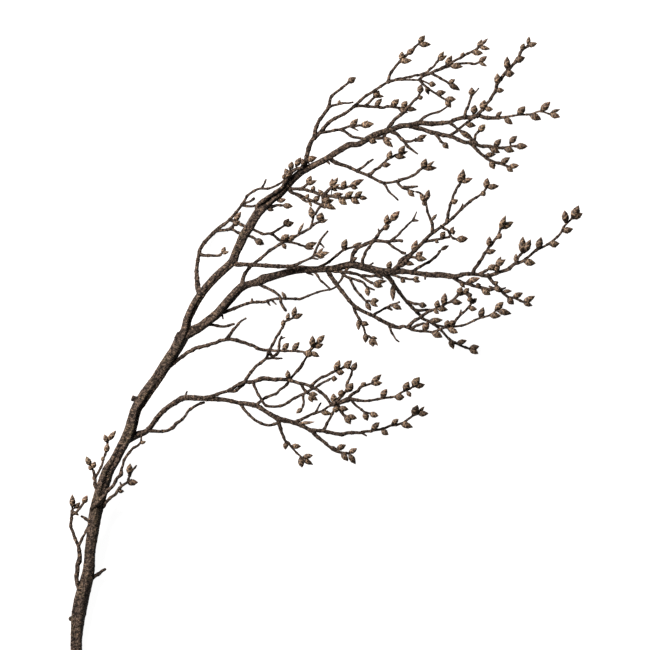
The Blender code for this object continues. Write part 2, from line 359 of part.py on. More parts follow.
class Piece:
    """One tube of a spray: a limb, a twig or a bud, with its middle line and its radii in mm."""

    def __init__(self, name, points, radii):
        self.name = name
        self.points = points
        self.radii = radii

    def nearest(self, place):
        """The point of the middle line nearest in plan to a place, its distance and the radius there."""
        best = None
        lines = zip(self.points, self.points[1:], self.radii, self.radii[1:])
        for start, end, first_radius, last_radius in lines:
            along = (end - start).xy
            share = (place.xy - start.xy).dot(along) / max(along.length_squared, 1e-9)
            share = min(max(share, 0.0), 1.0)
            point = start.lerp(end, share)
            distance = (point.xy - place.xy).length
            if best is None or distance < best[1]:
                best = (point, distance, first_radius + share * (last_radius - first_radius))
        return best

    def samples(self, step=1.0):
        """Points every step mm along the middle line, each with its radius."""
        rows = []
        lines = zip(self.points, self.points[1:], self.radii, self.radii[1:])
        for start, end, first_radius, last_radius in lines:
            count = max(1, math.ceil((end - start).length / step))
            for number in range(count + 1):
                share = number / count
                rows.append((*start.lerp(end, share), first_radius + share * (last_radius - first_radius)))
        return np.array(rows)


def on_plan(across, down):
    return Vector((across, PLAN_SIDE - down, 0.0))


def read_route(words):
    """Points and radii of a route, with the radii that aren't written worked out between the others."""
    points = []
    stated = []
    for number, word in enumerate(words):
        values = [float(value) for value in word.split(",")]
        points.append(on_plan(values[0], values[1]))
        if len(values) > 2:
            stated.append((number, values[2]))
    radii = np.interp(range(len(points)), *zip(*stated))
    return points, [float(radius) for radius in radii]


def read_heights(words, root_height):
    heights = [root_height]
    for word in words[1:]:
        heights.append(float(word[1:]) if word.startswith("=") else root_height + float(word))
    return heights


def lift(points, heights):
    """Gives each point its height, with the heights spaced evenly along the route."""
    lengths = [0.0]
    for start, end in zip(points, points[1:]):
        lengths.append(lengths[-1] + (end - start).length)
    places = np.linspace(0.0, lengths[-1], len(heights))
    for point, height in zip(points, np.interp(lengths, places, heights)):
        point.z = float(height)


def thin_out(points, radii, tolerance):
    """Leaves out points that lie within the tolerance of the straight line between those kept."""
    line = points[-1] - points[0]
    worst, place = 0.0, None
    for number in range(1, len(points) - 1):
        share = (points[number] - points[0]).dot(line) / max(line.length_squared, 1e-9)
        offset = (points[number] - points[0].lerp(points[-1], share)).length
        radius = radii[0] + share * (radii[-1] - radii[0])
        offset += abs(radii[number] - radius)
        if offset > worst:
            worst, place = offset, number
    if place is None or worst < tolerance:
        return [points[0], points[-1]], [radii[0], radii[-1]]
    first = thin_out(points[: place + 1], radii[: place + 1], tolerance)
    last = thin_out(points[place:], radii[place:], tolerance)
    return first[0][:-1] + last[0], first[1][:-1] + last[1]


def limb_from(name, heights, route, carriers):
    """A limb that starts on the middle line of the nearest carrier."""
    points, radii = read_route(route)
    if carriers:
        found = min((carrier.nearest(points[0]) for carrier in carriers), key=lambda spot: spot[1])
        root = found[0]
        if (root.xy - points[0].xy).length > SEAT_GAP:
            points.insert(0, root.copy())
            radii.insert(0, radii[0])
        else:
            points[0] = root.copy()
        levels = read_heights(heights, root.z)
    else:
        levels = [float(height) for height in heights]
    for point in points:
        point.z = 0.0
    lift(points, levels)
    thick = max(radii) >= LIMB_RADIUS
    return Piece(name, *thin_out(points, radii, LIMB_TOLERANCE if thick else TWIG_TOLERANCE))


def read_bud(text, host, draw):
    """Base, tip and width of a bud, stub or spur, and the point of its host that it grows from."""
    base_words, tip_words = text.split(">")
    base = on_plan(*[float(value) for value in base_words.split(",")])
    across, down, width = [float(value) for value in tip_words.split(",")]
    tip = on_plan(across, down)
    root, _, host_radius = host.nearest(base)
    base.z = root.z
    pitch = math.radians(draw.uniform(*BUD_PITCH))
    tip.z = root.z + (tip - base).xy.length * math.tan(pitch)
    return base, tip, width, root, host_radius


def grow_tip_bud(limb, base, tip, width):
    """Carries the limb's own tube on into the bud at its end."""
    if (base - limb.points[-1]).length < 0.6:
        limb.points.pop()
        limb.radii.pop()
    for share, part in TIP_BUD_RINGS:
        limb.points.append(base.lerp(tip, share))
        limb.radii.append(part * width)


def side_bud(name, base, tip, width, root, host_radius):
    """A bud whose first ring is sunk in its host's middle line."""
    points = [root.copy()]
    radii = [min(STALK_SHARE * width, host_radius)]
    for share, part in SIDE_BUD_RINGS:
        points.append(base.lerp(tip, share))
        radii.append(part * width)
    return Piece(name, points, radii)


def read_spray(name, carriers):
    """All pieces of a spray, the limb that carries the others first."""
    draw = random.Random(f"{SEED} {name}")
    limbs = []
    buds = []
    for row in SPRAYS[name].strip().replace("\n  ", " ").splitlines():
        heights, route, growths = [part.split() for part in row.split("|")]
        limb = limb_from(f"{name}_limb_{len(limbs)}", heights, route, limbs or carriers)
        limbs.append(limb)
        read = [read_bud(growth, limb, draw) for growth in growths]
        end = limb.points[-1].copy()
        at_tip = [bud for bud in read if (bud[0] - end).length < TIP_REACH and bud[2] >= LEAST_WIDTH]
        if at_tip:
            grow_tip_bud(limb, *at_tip[0][:3])
        for bud in read:
            if bud[2] >= LEAST_WIDTH and bud not in at_tip[:1]:
                buds.append(side_bud(f"{name}_bud_{len(buds)}", *bud))
    return limbs, buds


def sides_steps(piece):
    """Bevel steps for a tube: 0 gives four sides, 1 gives six and 2 gives eight."""
    if "_bud_" in piece.name:
        return 0
    widest = max(piece.radii)
    return 2 if widest >= STEM_RADIUS else 1 if widest >= LIMB_RADIUS else 0


def draw_tubes(pieces, collection, swell=0.0):
    """A closed mesh object for each piece, made from a curve with a bevel and filled caps."""
    drawn = []
    for piece in pieces:
        curve = bpy.data.curves.new(piece.name, "CURVE")
        curve.dimensions = "3D"
        curve.bevel_depth = MM
        curve.bevel_resolution = sides_steps(piece)
        curve.use_fill_caps = True
        line = curve.splines.new("POLY")
        line.points.add(len(piece.points) - 1)
        for spot, place, radius in zip(line.points, piece.points, piece.radii):
            spot.co = (*(place * MM), 1.0)
            spot.radius = radius + swell
        drawn.append(bpy.data.objects.new(piece.name, curve))
        collection.objects.link(drawn[-1])
    bpy.context.view_layer.update()
    graph = bpy.context.evaluated_depsgraph_get()
    solids = []
    for tube in drawn:
        mesh = bpy.data.meshes.new_from_object(tube.evaluated_get(graph))
        body = bmesh.new()
        body.from_mesh(mesh)
        bmesh.ops.remove_doubles(body, verts=body.verts, dist=0.002 * MM)
        bmesh.ops.recalc_face_normals(body, faces=body.faces)
        body.to_mesh(mesh)
        body.free()
        solid = bpy.data.objects.new(f"{tube.name}_solid", mesh)
        solid.matrix_world = tube.matrix_world
        solids.append(solid)
        collection.objects.link(solid)
        bpy.data.objects.remove(tube)
    return solids


def combine(body, collection, operation):
    """Applies one Boolean with all of a collection. The fast solver takes the hundred closed pieces."""
    joined = body.modifiers.new("combine", "BOOLEAN")
    joined.operation = operation
    joined.operand_type = "COLLECTION"
    joined.collection = collection
    joined.solver = "MANIFOLD"
    bpy.context.view_layer.update()
    graph = bpy.context.evaluated_depsgraph_get()
    mesh = bpy.data.meshes.new_from_object(body.evaluated_get(graph))
    body.modifiers.clear()
    body.data = mesh
    for used in list(collection.objects):
        bpy.data.objects.remove(used)


def islands(body):
    """The faces of each loose body of a bmesh."""
    left = set(body.faces)
    found = []
    while left:
        seeds = [left.pop()]
        island = set(seeds)
        while seeds:
            for edge in seeds.pop().edges:
                for face in edge.link_faces:
                    if face in left:
                        left.discard(face)
                        island.add(face)
                        seeds.append(face)
        found.append(island)
    return found


def keep_largest_body(target):
    """Drops loose scraps, and fills sealed hollows, whose walls are loose bodies too."""
    body = bmesh.new()
    body.from_mesh(target.data)
    groups = sorted(islands(body), key=len)
    for group in groups[:-1]:
        bmesh.ops.delete(body, geom=list(group), context="FACES")
    body.to_mesh(target.data)
    body.free()


def near_pieces(pieces, others):
    """Those of the other pieces that come within the seat gap of these."""
    own = np.concatenate([piece.samples() for piece in pieces])
    found = []
    for other in others:
        far = other.samples()
        low = far[:, :3].min(axis=0) - 10
        high = far[:, :3].max(axis=0) + 10
        inside = own[((own[:, :3] > low) & (own[:, :3] < high)).all(axis=1)]
        if not len(inside):
            continue
        apart = np.linalg.norm(inside[:, None, :3] - far[None, :, :3], axis=2)
        if (apart - inside[:, None, 3] - far[None, :, 3]).min() < 2 * SEAT_GAP + 0.5:
            found.append(other)
    return found


def bark_material(name, colour):
    bark = bpy.data.materials.new(name)
    bark.use_nodes = True
    shader = bark.node_tree.nodes["Principled BSDF"]
    shader.inputs["Base Color"].default_value = colour
    shader.inputs["Roughness"].default_value = 0.72
    shader.inputs["Metallic"].default_value = 0.0
    return bark


def ground_block(collection):
    """A block whose top is the surface that the branch lies on, to cut its small resting flats."""
    depth = 40
    bpy.ops.mesh.primitive_cube_add(size=1)
    block = bpy.context.object
    block.name = "ground_block"
    block.data.transform(Matrix.Diagonal((2 * PLAN_SIDE * MM, 2 * PLAN_SIDE * MM, depth * MM, 1)))
    middle = Vector((PLAN_SIDE / 2, PLAN_SIDE / 2, -depth / 2)) * MM
    block.data.transform(Matrix.Translation(middle))
    for home in block.users_collection:
        home.objects.unlink(block)
    collection.objects.link(block)


def build_spray(name, earlier, parts, cutters):
    """One node: its pieces joined, cut clear of what was built before it, and flat where it rests."""
    limbs, buds = read_spray(name, [piece for piece in earlier if "_limb_" in piece.name])
    pieces = limbs + buds
    solids = draw_tubes(pieces, cutters)
    body = solids[0]
    cutters.objects.unlink(body)
    parts.objects.link(body)
    body.name = name
    body.data.name = name
    combine(body, cutters, "UNION")
    touching = near_pieces(pieces, earlier)
    if touching:
        draw_tubes(touching, cutters, SEAT_GAP)
        combine(body, cutters, "DIFFERENCE")
    if min(corner[2] for corner in body.bound_box) < 0:
        ground_block(cutters)
        combine(body, cutters, "DIFFERENCE")
    keep_largest_body(body)
    body.data.materials.clear()
    thick = max(limbs[0].radii) >= STEM_RADIUS
    body.data.materials.append(bark_material(f"{name}_bark", BARK if thick else YOUNG_BARK))
    body.data.shade_smooth()
    body.data.set_sharp_from_angle(angle=math.radians(50))
    return body, pieces


def centre_over_origin(bodies):
    """Moves the branch so that the middle of its box stands over the origin, and prints that plan point."""
    corners = np.array([vertex.co for body in bodies for vertex in body.data.vertices])
    low, high = corners.min(axis=0), corners.max(axis=0)
    middle = Vector(((low[0] + high[0]) / 2, (low[1] + high[1]) / 2, low[2]))
    for body in bodies:
        body.data.transform(Matrix.Translation(-middle))
    across, up = middle.x / MM, middle.y / MM
    print(f"plan point over the origin: {across:.3f} across, {PLAN_SIDE - up:.3f} down")


def main():
    for old in list(bpy.data.objects):
        bpy.data.objects.remove(old)
    parts = bpy.data.collections.new("budding_branch")
    cutters = bpy.data.collections.new("cutters")
    cutters.hide_render = True
    bpy.context.scene.collection.children.link(parts)
    bpy.context.scene.collection.children.link(cutters)
    bodies = []
    pieces = []
    for name in SPRAYS:
        body, own = build_spray(name, pieces, parts, cutters)
        bodies.append(body)
        pieces.extend(own)
    centre_over_origin(bodies)


main()
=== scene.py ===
# %% [markdown]
# A cut branch in bud, seen from straight above as it lies on a pale floor.
#
# The solids of the branch are packed already. This lesson loads them as a fixed frame and
# dresses each one with finer wood and finer buds that keep its place and its form.

# %% Load the frame
import math
import random

import bpy
import numpy as np
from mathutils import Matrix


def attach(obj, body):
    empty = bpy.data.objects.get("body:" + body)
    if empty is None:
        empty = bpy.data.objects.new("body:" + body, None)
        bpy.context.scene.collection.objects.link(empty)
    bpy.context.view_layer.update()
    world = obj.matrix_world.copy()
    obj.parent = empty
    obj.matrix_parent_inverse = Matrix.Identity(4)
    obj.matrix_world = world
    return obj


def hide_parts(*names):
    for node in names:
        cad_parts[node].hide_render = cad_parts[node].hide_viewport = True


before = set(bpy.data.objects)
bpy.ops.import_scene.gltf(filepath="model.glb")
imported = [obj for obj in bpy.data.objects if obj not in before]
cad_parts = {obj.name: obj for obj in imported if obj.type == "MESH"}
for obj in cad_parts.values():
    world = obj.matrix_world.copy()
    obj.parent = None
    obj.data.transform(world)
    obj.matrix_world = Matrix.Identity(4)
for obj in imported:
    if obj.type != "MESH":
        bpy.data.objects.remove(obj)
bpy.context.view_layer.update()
MM = 0.001
print("nodes in the frame:", len(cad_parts))

# %% [markdown]
# The routes of the limbs were read on a square plan, seen from above. A point is
# across from the left edge, then down from the top edge, in millimetres. Each block is one
# spray, and each row below its name is one limb: its heights, its route with the radius at
# some points, and its growths, each with base, tip and width. Heights are spread evenly along
# a limb. They count from where it starts, or from the floor in the stem's own row and after
# an equals sign. A spray's first row grows from the sprays above it, and the others from the
# nearest row of its own. A line that starts with a space goes on with the row above.

# %% The routes
ROUTES = """
main_stem
5.4 6.6 9.5 14 18.5 23 27 30 31.5 32.5 33 33.5 34 34 34.5 35.5 38 42 | 76,658,6.2 76,640,5.8 77.3,620,6.5
 79.2,610,6.9 83.6,590,6.5 88.2,570,5.9 90,550,5.7 93,530 96.5,510,6.3 101,490,6 104.5,480,5.8
 108.3,470,5.5 114.5,460,5 119.5,450,5 125,440,5.3 130,430,6 135,410,5.5 141,400,5.8 148,390,5.8
 155.5,380,5.7 162,370,5.8 168.5,360,5.6 175,350,5.5 180,340,6 185,330,5 187,320,4.2 191.5,310,4.4
 196.5,300.5,4.4 204,290,4.2 214,279 221,272,4 228,265.5,3.8 233,260,4 236,252,3.8 240,244 244,235,4.2
 249.4,226.7 253.6,219.3,4.2 259,211.5,4.4 266.3,204.5 272,199,4 280,192.8,4 287.5,184.8 294,178,3.6
 301,172,3.5 308,168 315.5,164,3.1 325,159.3 332,154.8,3.1 340,149.8,3.2 349,144.5,3.2 357,144,3 362,142,3
 370,137,3.2 378,133.5,3.3 385,131,3 391,129.5,3 397,127,2.8 402,125.5,2.8 410,125,2.7 420,122.7,2.5
 430,123.3,2.5 437,123,2.3 445,122.3,2 450,121.7,1.8 455,119.3,1.8 465,117 471,117.3,2.2 478,115,1.8
 485,117.3,1.8 497,117.7,1.6 508,116.3,1.1 518,114.7,1 530,113.9 538,111.3 542,111.3,1 549,113.7,0.9 |
 473.5,113.5>475,104.5,6 496,116>502,111,3.5 504.5,118>512.5,124,5 518,113.5>525,106,6
 530,114.5>541,119.5,6 541,110.5>550,101.5,6 551,112>560,109,3 550,114>560,117,5 449,122>455,125.5,2.4
 326,160>329.5,163.6,2.5 278,201>286,199,4 267,208>274,210,4 307,160>317,157,5.5
0 1 | 90,579,1.8 96,575,1.6 105,569,1.2 |
0 1 | 95,524,1.8 88,520 81,516,1 |
0 1 | 78,620,2.6 70,618.5,2.2 |
0 1 | 139,400,3 131.5,397.5,2.4 |
0 12 15 16 17 16 15 | 92,508,1.8 98,502,1.6 103,496,1.5 108,490,1.5 113,485 117,478,1.4 121,473,1.7
 122,467,1.2 124,460 127,455,1.2 131,450 136,446 141,442,1 | 140,443>146,441,3 141,440>142,432,1.6
0 3 6 | 102,507,1.6 105,503 110,498,1.2 115,494 118,490,1.3 121,486 127,482,1.1 129,476,1 |
 129,474>130,463,5.5 127,482>138,482,5.5 118,491>124,491,3.5 131,472>136.3,465.2,2 121.5,487>120,482,2
0 2 | 271,206,1.6 277,205,1.2 283,205,1 | 283,205>293,206,5
0 4 5 6 5 | 257,207,1.8 262,201,2 268,197,1.6 275,192,1.6 282,187 285,182,1.5 290,174 297,168.5
 302,167.5,1.2 | 290,169>292,161,5 290,178>285,168,7 284,179>283,174,3 296,166>301,157,5 303,165>302,158,4
0 6 9 10 | 388,129,1.6 391,124,1.5 395,119 400,115,1.4 404,112 408,107,1.2 412.5,102 416.5,98.3 418,97
 420,93,1 | 418,98>423,96.5,4 420,93>421,84,5.5
0 3 5 | 392,131,1.8 397,134,1.5 401,138.5 405,142,1.4 409.2,147.4 413.2,150.6,1 417.5,153.5,0.7 |
0 1 | 405,141.5,1.2 410,140.9 415,139.4,1 | 417,139.5>427,134.5,4.5 415,139.8>423,140.5,2.4
0 2 | 386,131,1.5 383,137 375,138,1.1 370,139.5,1 | 383,138>393,147,5 383,138>392,139,3 369,140>377,142,5
0 5 | 465,116,1.4 466,110,1.2 468.6,104.6 471.5,95,1 | 471.5,95.5>471.5,87,5.5 472,95>478.5,88,1.6
0 3 | 420,121,1.3 423,117.8,1.1 428,114.8 433.2,112.7 440,111,1 446.8,106.4,0.8 |

low_left_spray
0 1 2 3 | 80,592,1.9 76.5,580,1.8 77,567 79,560,2.1 78.5,548,1.6 76,541,1.4 73,534 71,527,1.3 71,518
 72,510,1.2 | 72,507>72,494,5 74,508>80,502,4 73,511>78.8,515.2,3
0 1 | 72,514,1.2 76,512,1.1 80,507 83,503,1 | 83,503>87,495,5
0 -2 | 78,546,1.3 81,540 85,532,0.9 88,525.5,0.9 |

left_cluster
0 2 | 100,494,1.6 95,486,1.4 94.8,479,1.3 93,470,1.2 | 90,465>86,456,5 92,468>95,461,4.5 92,469>88,466,4
 95,480>92,476.3,2.6
0 2 | 95,477,1.2 99,470,1.1 102,464 105,453,1 107,448,1 | 103,461>102,456,3.5 106,452>108,443,5
 107,442>104,434,4.5 108,440>116,430,4.5

lower_limb
0 0 -1 -2 -2 -3 -3 | 128,439,3.6 138,434,3.5 145,431.5,2.9 150,427,2.5 158,416 166,408,2.4 175,402
 184,397.5,2.7 200,398,2.6 210,398.7 225,399.7,2.1 238.7,402.7,2 245,403.3,2.3 257,406,2.5 267.5,412.3,2.2
 279,418.4,2.8 291,421.3,2.4 302,425.5 312,431,2 | 298,423.5>315,421.5,3 185,396>187,391,1.8
0 -2 -4 -4 | 150,430,1.6 162,431,1.3 172,428 176,423,1.6 182,419,1.2 190,409 196,405 204,402,1.1 |
0 1 1 0 -1 | 312,430.5,1.9 318,430,1.5 330,432,1.6 336,433.3 341,434,1.7 347,432.7 355,432.3,1.4 361,432.3
 367,431 373,430.3,1.1 383,428.3 388,426.3 393.5,424.7 399,424 403,422.3 407,419.6 412,416,0.9 |
 372,429>379.5,422,5 382,430>388.5,434.5,5 392,423.5>398.5,418.5,4.5 401,423>413,427,5.5
 413,414.5>417.5,404.5,6.5 419,412.5>424.5,406,3 418,413.5>428.5,413,5 363,433>366.5,435.5,1.8
0 -2 -4 | 314,432.5,1.8 317,436,1.6 325,442.5 329.3,446.3,1.3 333,448.5,2 340,452,1.2 348,453,1 |
 337,448.5>346,444.5,5 341.5,453>348,461,5 349,452.5>357,448,4.5 349,454>355.5,464,5
0 -2 -4 | 278.5,420,1.8 281,430,1.4 285,439.7,1.2 288,442.6 294.8,450.6 301,456.5,0.9 |
 285.5,442>285,449.5,4.5 291.5,445.5>301,446,4.5 300.5,457>302,467.5,5.5 303,457>313,455,4.5
 302.5,458.5>313,464.5,4.5
0 3 4 3 0 | 241,404,1.4 247.3,413,1.2 257,420.8 268,425 278,422.5,1.2 |
0 2 4 | 297,421,1.5 304.5,417.4,1.2 310,414.8 316,412.4 321,411,1 327,407.4 331,405,0.9 |
 321,411.5>332,413.5,4.5
0 2 | 315.5,412.5,1 318,407 321,402.5,0.6 |
0 3 | 324,429,1.5 326,425.2,1.3 331.5,415,1.2 334,410,1.1 |
0 3 6 7 8 8 | 205,398,1.9 215,394.7,1.6 230,389.5,1.5 235,386.2 243,382.3,1.6 254,381,1.5 262,378.2,1.9
 270,378.6,1.6 284,379.2,1.5 289,379.4 300,382.9,1.4 312,386,1.3 | 288,378.5>287.5,369.5,4.5
0 0 -1 | 228,390,1.3 235,390.4,1.3 242,385.4,1.2 245,382.2,1.1 |
0 2 3 | 311,385.5,1.3 319,378.6,1.2 325,375.6 335,371 340,368.5 344,366.5,1 | 335,370>339.5,359.5,5.5
 344,367>352,360,5.5 337,372>344.5,372,5
0 2 3 3 4 | 253,381,1.4 256.5,390.5,1.2 262.2,400.6 266,405.2 276,406.2 285,404,1.2 295,397.4 306,392.4
 316,386.4,1.1 330,378.5,1 | 331.5,378>337.5,378.5,5
0 1 | 302,385.5,1.2 307,392.5 310,393.4,1 | 310,393>318,394.5,4 310,395>318,400,4 310,395>312.5,402,5
0 -1 | 303,394,1.1 303.5,402,1 302.5,407,1 | 302,408>296,413,4
0 2 2 | 311,386.5,1.5 319,390.6,1.4 326,396.6 331,404 335,405,1.4 |
0 2 3 | 257,404,1.3 264,398.2,1.3 276,393.2,1.2 280,389.4 287,384,1.2 289,379,1.1 |
0 1 4 | 290,378.5,1.2 293,375,1.1 297,370.6 301,366,1.7 303,362,1.2 307.5,355.5,1 |
0 2 3 3 3 | 245,381.5,1.5 250,372.7,1.4 256.8,365.2 264.8,359.4,1.3 268.5,352 273.3,342.7,1.2 278.5,333.3
 282.7,327,1 285,321.5,1 293,317.6,0.9 | 283,326>283.5,319,4 287,319.5>289,312,3.5 293,316.5>295.5,306,4.5
 293.5,317.5>303,313.5,4.5
0 0 | 267,358,1.1 277,358,0.9 282,358,0.8 |
0 1 1 | 269.5,352.5,1.4 273,355.7,1.3 278.5,351.5 278.7,346,1.2 279.6,341 281.5,336,1 |
 281.5,338>285,337,1.4
0 4 | 334,404,2 335,402,3.4 337,400,2 346,390,1.5 346.6,384 351,374.6 352,370,1.2 | 334,402>333.5,393,5.5
 336,406>336,412.5,6 339,408>348.5,409,5 341,396>342,389,6 347,391>353,382.5,6.5 350,368>345,364.5,4
 352,370>356.5,361.5,5
0 2 4 5 5 | 337,403,1.9 347,399.5,2.6 352,399,2 360,400.2,1.5 368,400.4,1.3 384,397.7,1.2 395.2,396,1.1
 402,391.8 409,388.9,1 412.2,386.8,0.9 | 381.5,397>387,388.5,5.5 395,396.5>404.5,396.5,6
 404,390>408.5,381,6 407,391>411,396.5,4 413,386>419.5,376.5,7 415,386>425,384,5
0 3 | 350,396,1.4 354.8,392,1.2 357.8,390.2,1.5 361,386.6,1.1 370,383.4,1 | 361,386>366,382,4
 371.5,383>381.5,374,5 372,383.5>382.5,382.5,4.5
0 -2 | 352,400,1.2 355,404.4,1.1 360,408 364,411.2,1 369,412.8,0.9 | 364.5,412>367.5,420.5,5.5
 370,413>378.5,415.5,5
0 -1 | 338,406,1.6 343.3,413.8,1.2 345,416,1.1 | 345,415>350.5,424,5.5 347,416>357,418,5

inner_twig
0 4 7 9 10 | 168,366,2.2 177,360,1.7 185,354 195,348,1.6 205,345.5 220,340.6,1.4 229,338.5 240,340.9,1.5
 251,344.6,1.3 260,348.8,1.4 270,350 287,350.6,1.1 301,351,1 308,354,1 | 283,349>289,342.5,5
 293,349.5>299.5,341.5,5 304,352.5>313.5,355,6 311,352>319.5,356.5,4.5
0 1 | 305,353.5,1.2 309,351,1.4 312,346 312.4,344,1 | 312.2,346.5>312.5,335,5.2
0 1 | 307,353,1.2 312,348,1.3 316,343.5,1.2 317.5,342,1 | 317,342.3>324.6,334.5,5 315,347>323.5,343.5,4.5
0 3 | 227,338.8,1.6 233,329.7,1.2 241.2,320.8,0.9 246,317.8,0.7 |

middle_limb
0 0 -1 -1 -1 0 0 0 1 2 4 6 9 | 180,337,5 184,335 192,330.5,5 200,326.5,4.5 208,320.5,4.5 216.8,313.7,4.6
 222.8,306.8,4.3 229.7,298.8,4.2 238.7,289,3.9 243,286,3.8 250,283.5,3.2 258,281.5,4 264,278.5,4.5
 270,277,4 290,271.7,3.6 300,269.5,4 310,269.3,3.3 330,268.5,3.3 350,264.3,3.5 360,265.7,3.5 380,270.7,3.6
 390,271,3.4 400,270.7,2.9 410,271.7,2.3 430,274.6,2.5 440,274.7,2.8 455,276.4 465,273.8,2 478,274.3,1.8
 488,275.4,2.1 500,271.5,1.8 508,268.8,2 514,263.8,1.8 522,261,1.7 528.5,256.2,1.4 536,249.8,1.5
 544,246,1.2 552,240.8 560,233.4,1.2 563.8,226.2 572,217.8,1 | 388,268>391,260.5,5 515.5,262>516,253,4
 524,261>535.5,263,6 537.5,248>541,236.5,6 550,244>559.5,243,6 563,231>573,228.5,5.5 565.5,222>564.5,210,6
 572,217.5>578.5,205,7 573,218>582.5,213,5.5 425,274>425,279,2 368,266>373,262.5,2
0 3 4 | 516,263,1.4 519,256,1.1 521.5,253,1 | 522,252.5>522.8,236,6.2 524,252>530.5,239,6
0 -4 -5 -4 -3 -3 | 242,285,2.2 244,275,1.7 248,269,1.5 254,263 262,257,1.4 270,250,1.3 283,242 293,237,1.2
 306,230,1.2 311,226 313,218,1 | 281,239>289,234,5 288,240>296,234.5,5 283,243>286,249,4
 313,218>310,206,5.5 298,233>304,222,2.6
0 -1 | 312,225,1.1 319,221.5,1 | 319.5,221>322,212,7 320,222>328,219,3
0 -4 -7 -8 -8 | 214,315.5,2.4 220,313,1.9 230,309.6,1.7 247,303.2,1.4 258,301.6 264,301.6,1.5
 275.5,298.4,1.3 295,298.4 300,298.6,1.5 308,295.4,1.2 320,291 331,288.8,1 336,286.4,1 |
 222,314>223,318.5,1.8 252,302>252,298.5,2.4 267,301>270,305,1.8 272,300>276,304,1.8
0 -2 -3 | 205,324,1.5 212,324.6,1.3 224,326,1.2 234,323.6,1.1 |
0 3 3 | 258,283,1.6 263,286,1.3 274,291.2,1.2 280,297 281,301.5,1.2 283,306.5,1.4 286,310.5,1 |
 286,298>281.5,291,3.2
0 3 | 310,271,1.4 315,272.5,1.1 321,280.4 329.3,287.8,0.9 | 307,272>313,274.8,2
0 3 | 348,267,1.4 345.2,271,1.2 342,277 340,280.5 338,283,1 |
0 2 3 3 | 331,270,1.5 338,271.6,1.3 350,272.2,1.5 362,275.2,1.3 377,275.6 382,276,1.2 |
 378,275.8>383,278.5,1.8
0 2 | 361,275.4,1.2 368.5,280.8,1.1 372,282.6,1.1 | 373,283>383,286.5,5 374,282.5>387,280.5,4
0 3 4 | 342,272.5,1.2 348,277,1.1 362,281.5,1.1 367,287,1 | 367,287.5>368.5,296,4.5 367,287>374.5,289.5,1.8
0 1 1 | 350.5,279,1.1 355.2,288.8,1.1 362.8,297.4 366,300.4,1 370,300.6,1 | 371,301>379,300,5
 370,301.5>378,306.5,3.5 366,302>371,310.5,4.5
0 3 3 | 317,268,1.5 326,263,1.2 338,254 343,249.7,1.1 354,246.4,1 360,244,1 | 343,249>346.5,238.5,5.5
 352,246.8>362,241.8,3.5
0 4 6 7 | 352,264,1.9 352,257,1.6 353.2,252.8,1.9 359.3,246.8,1.6 374,239.5,1.5 380,231.2,1.2 390.5,221,1 |
 386,224>387.5,214,5 391,220>399.5,210.5,6 383,229>390,225,5 352,260>357.5,257,3.5 379.5,232>378,228.5,1.6
0 5 6 | 362,266,1.5 363,257.6,1.3 366.8,249.8,1.2 374,240.4,1.2 |
0 1 0 | 374,240,1.5 385,241.2,1.3 396.5,240.3,1.2 402,240.6,1.5 |
0 0 | 387,241.2,1.2 392,245.6,1.1 402,252,1.1 405,252.8,1.4 |
0 2 | 391,240.8,1.2 399.2,233,1 410,222.2 413,219.6,0.8 | 413,219.5>416.5,211.5,1.4 413,220>418,220.3,2
0 -3 -4 | 413,271.5,1.5 418,267.4,1.2 431.2,260 437,254.8,1.1 440,250.4,1 | 441,249.5>449,245,3.5
0 3 5 | 473,273,1.8 474,269.3,1.5 480.2,260.4,1.4 488,248,1.2 493.2,242 498.8,233.6,1.1 500,229.5,1 |
 486.5,252.5>496,250,4.5 489,246>489.5,236,5 497.5,238>501.5,233,4.5 500,229>505.5,215,5
 502,228>513.5,221.5,5.5
0 2 | 480,273.5,1.5 485.2,270.4,1.2 489,268.5 494,267,1 | 488,269>496,264.5,5 494,270>500,266.5,6
 496,266>501,256,4 496,265.5>505.5,259,5
0 -2 -2 -2 | 453,276,1.7 460,281.2,1.4 476,286,1.2 488,288.8,1.5 495,288.7,1 | 460,282>465,287.5,3.5
 467,281.5>480,277.6,5 476,286>481,284,4.5 482,289>490.5,294.5,5.5
0 -1 -2 -2 | 488,275,1.6 494,283.2,1.3 500,288.5 507.2,296.4,1.2 514,297.5 523,301.5,1 |
 494,284>498.5,281.5,4 495,288>489,285.8,2.2 501,289>505.5,287.3,2 495,286.5>501,292,4.5
 503,291>512,290.5,3.5 508,298>514,304,5.5 513,297>523,292.5,5 523.5,301.5>535,295.5,5
 523.5,301.5>532.5,305.5,4.5
0 1 | 389,273,1.4 397.3,276,1.1 408.5,278.6 414,279,1 | 401,279>405.5,282,4 413,279.5>420.5,281.5,3.5
 413.5,279>419,276.5,4

lower_right_spray
0 -1 -4 -6 -6 -4 -2 | 326,267,2.5 330,274.5,2.2 336.5,283.8 344,293.4,2 352,303.2 360,309.3,1.9
 373,315.5,1.8 383,321 393.2,325.8,2.1 399,327.2,1.8 404,326 414.5,330,1.4 427,331.1,1.3 433.5,331.4
 444.5,327.2 456,325.9,1.2 465.2,324.2 478,318.4,1.1 490,314.8 496,310.2,0.9 | 423.5,329.5>428.5,321,6
 432,332>442.5,337,6 446.5,326.5>448,319.5,5 450,324>454.5,320,4.5 448,328>458,332.5,5
 480,317>483.5,306.5,5.5 490,315>501,315.5,5.5 495.5,309.5>503.5,301.5,5.5 498,310.5>511.5,313.5,5.5
0 0 | 389,324.5,1.1 393.4,335.8,0.8 399,341.5,0.6 |
0 2 | 373,315.5,1.4 378,311.8,1.1 390,305.4,1 | 388,307>392,309.5,2.5 392,304.3>401.7,309.2,5
 391,304.8>399.5,301.5,2
0 -2 -2 | 354,306,1.6 356.8,314.8,1.2 361.2,321.2 365.5,333,1 370,336.8,1 | 361.5,322>369,324.5,4.5
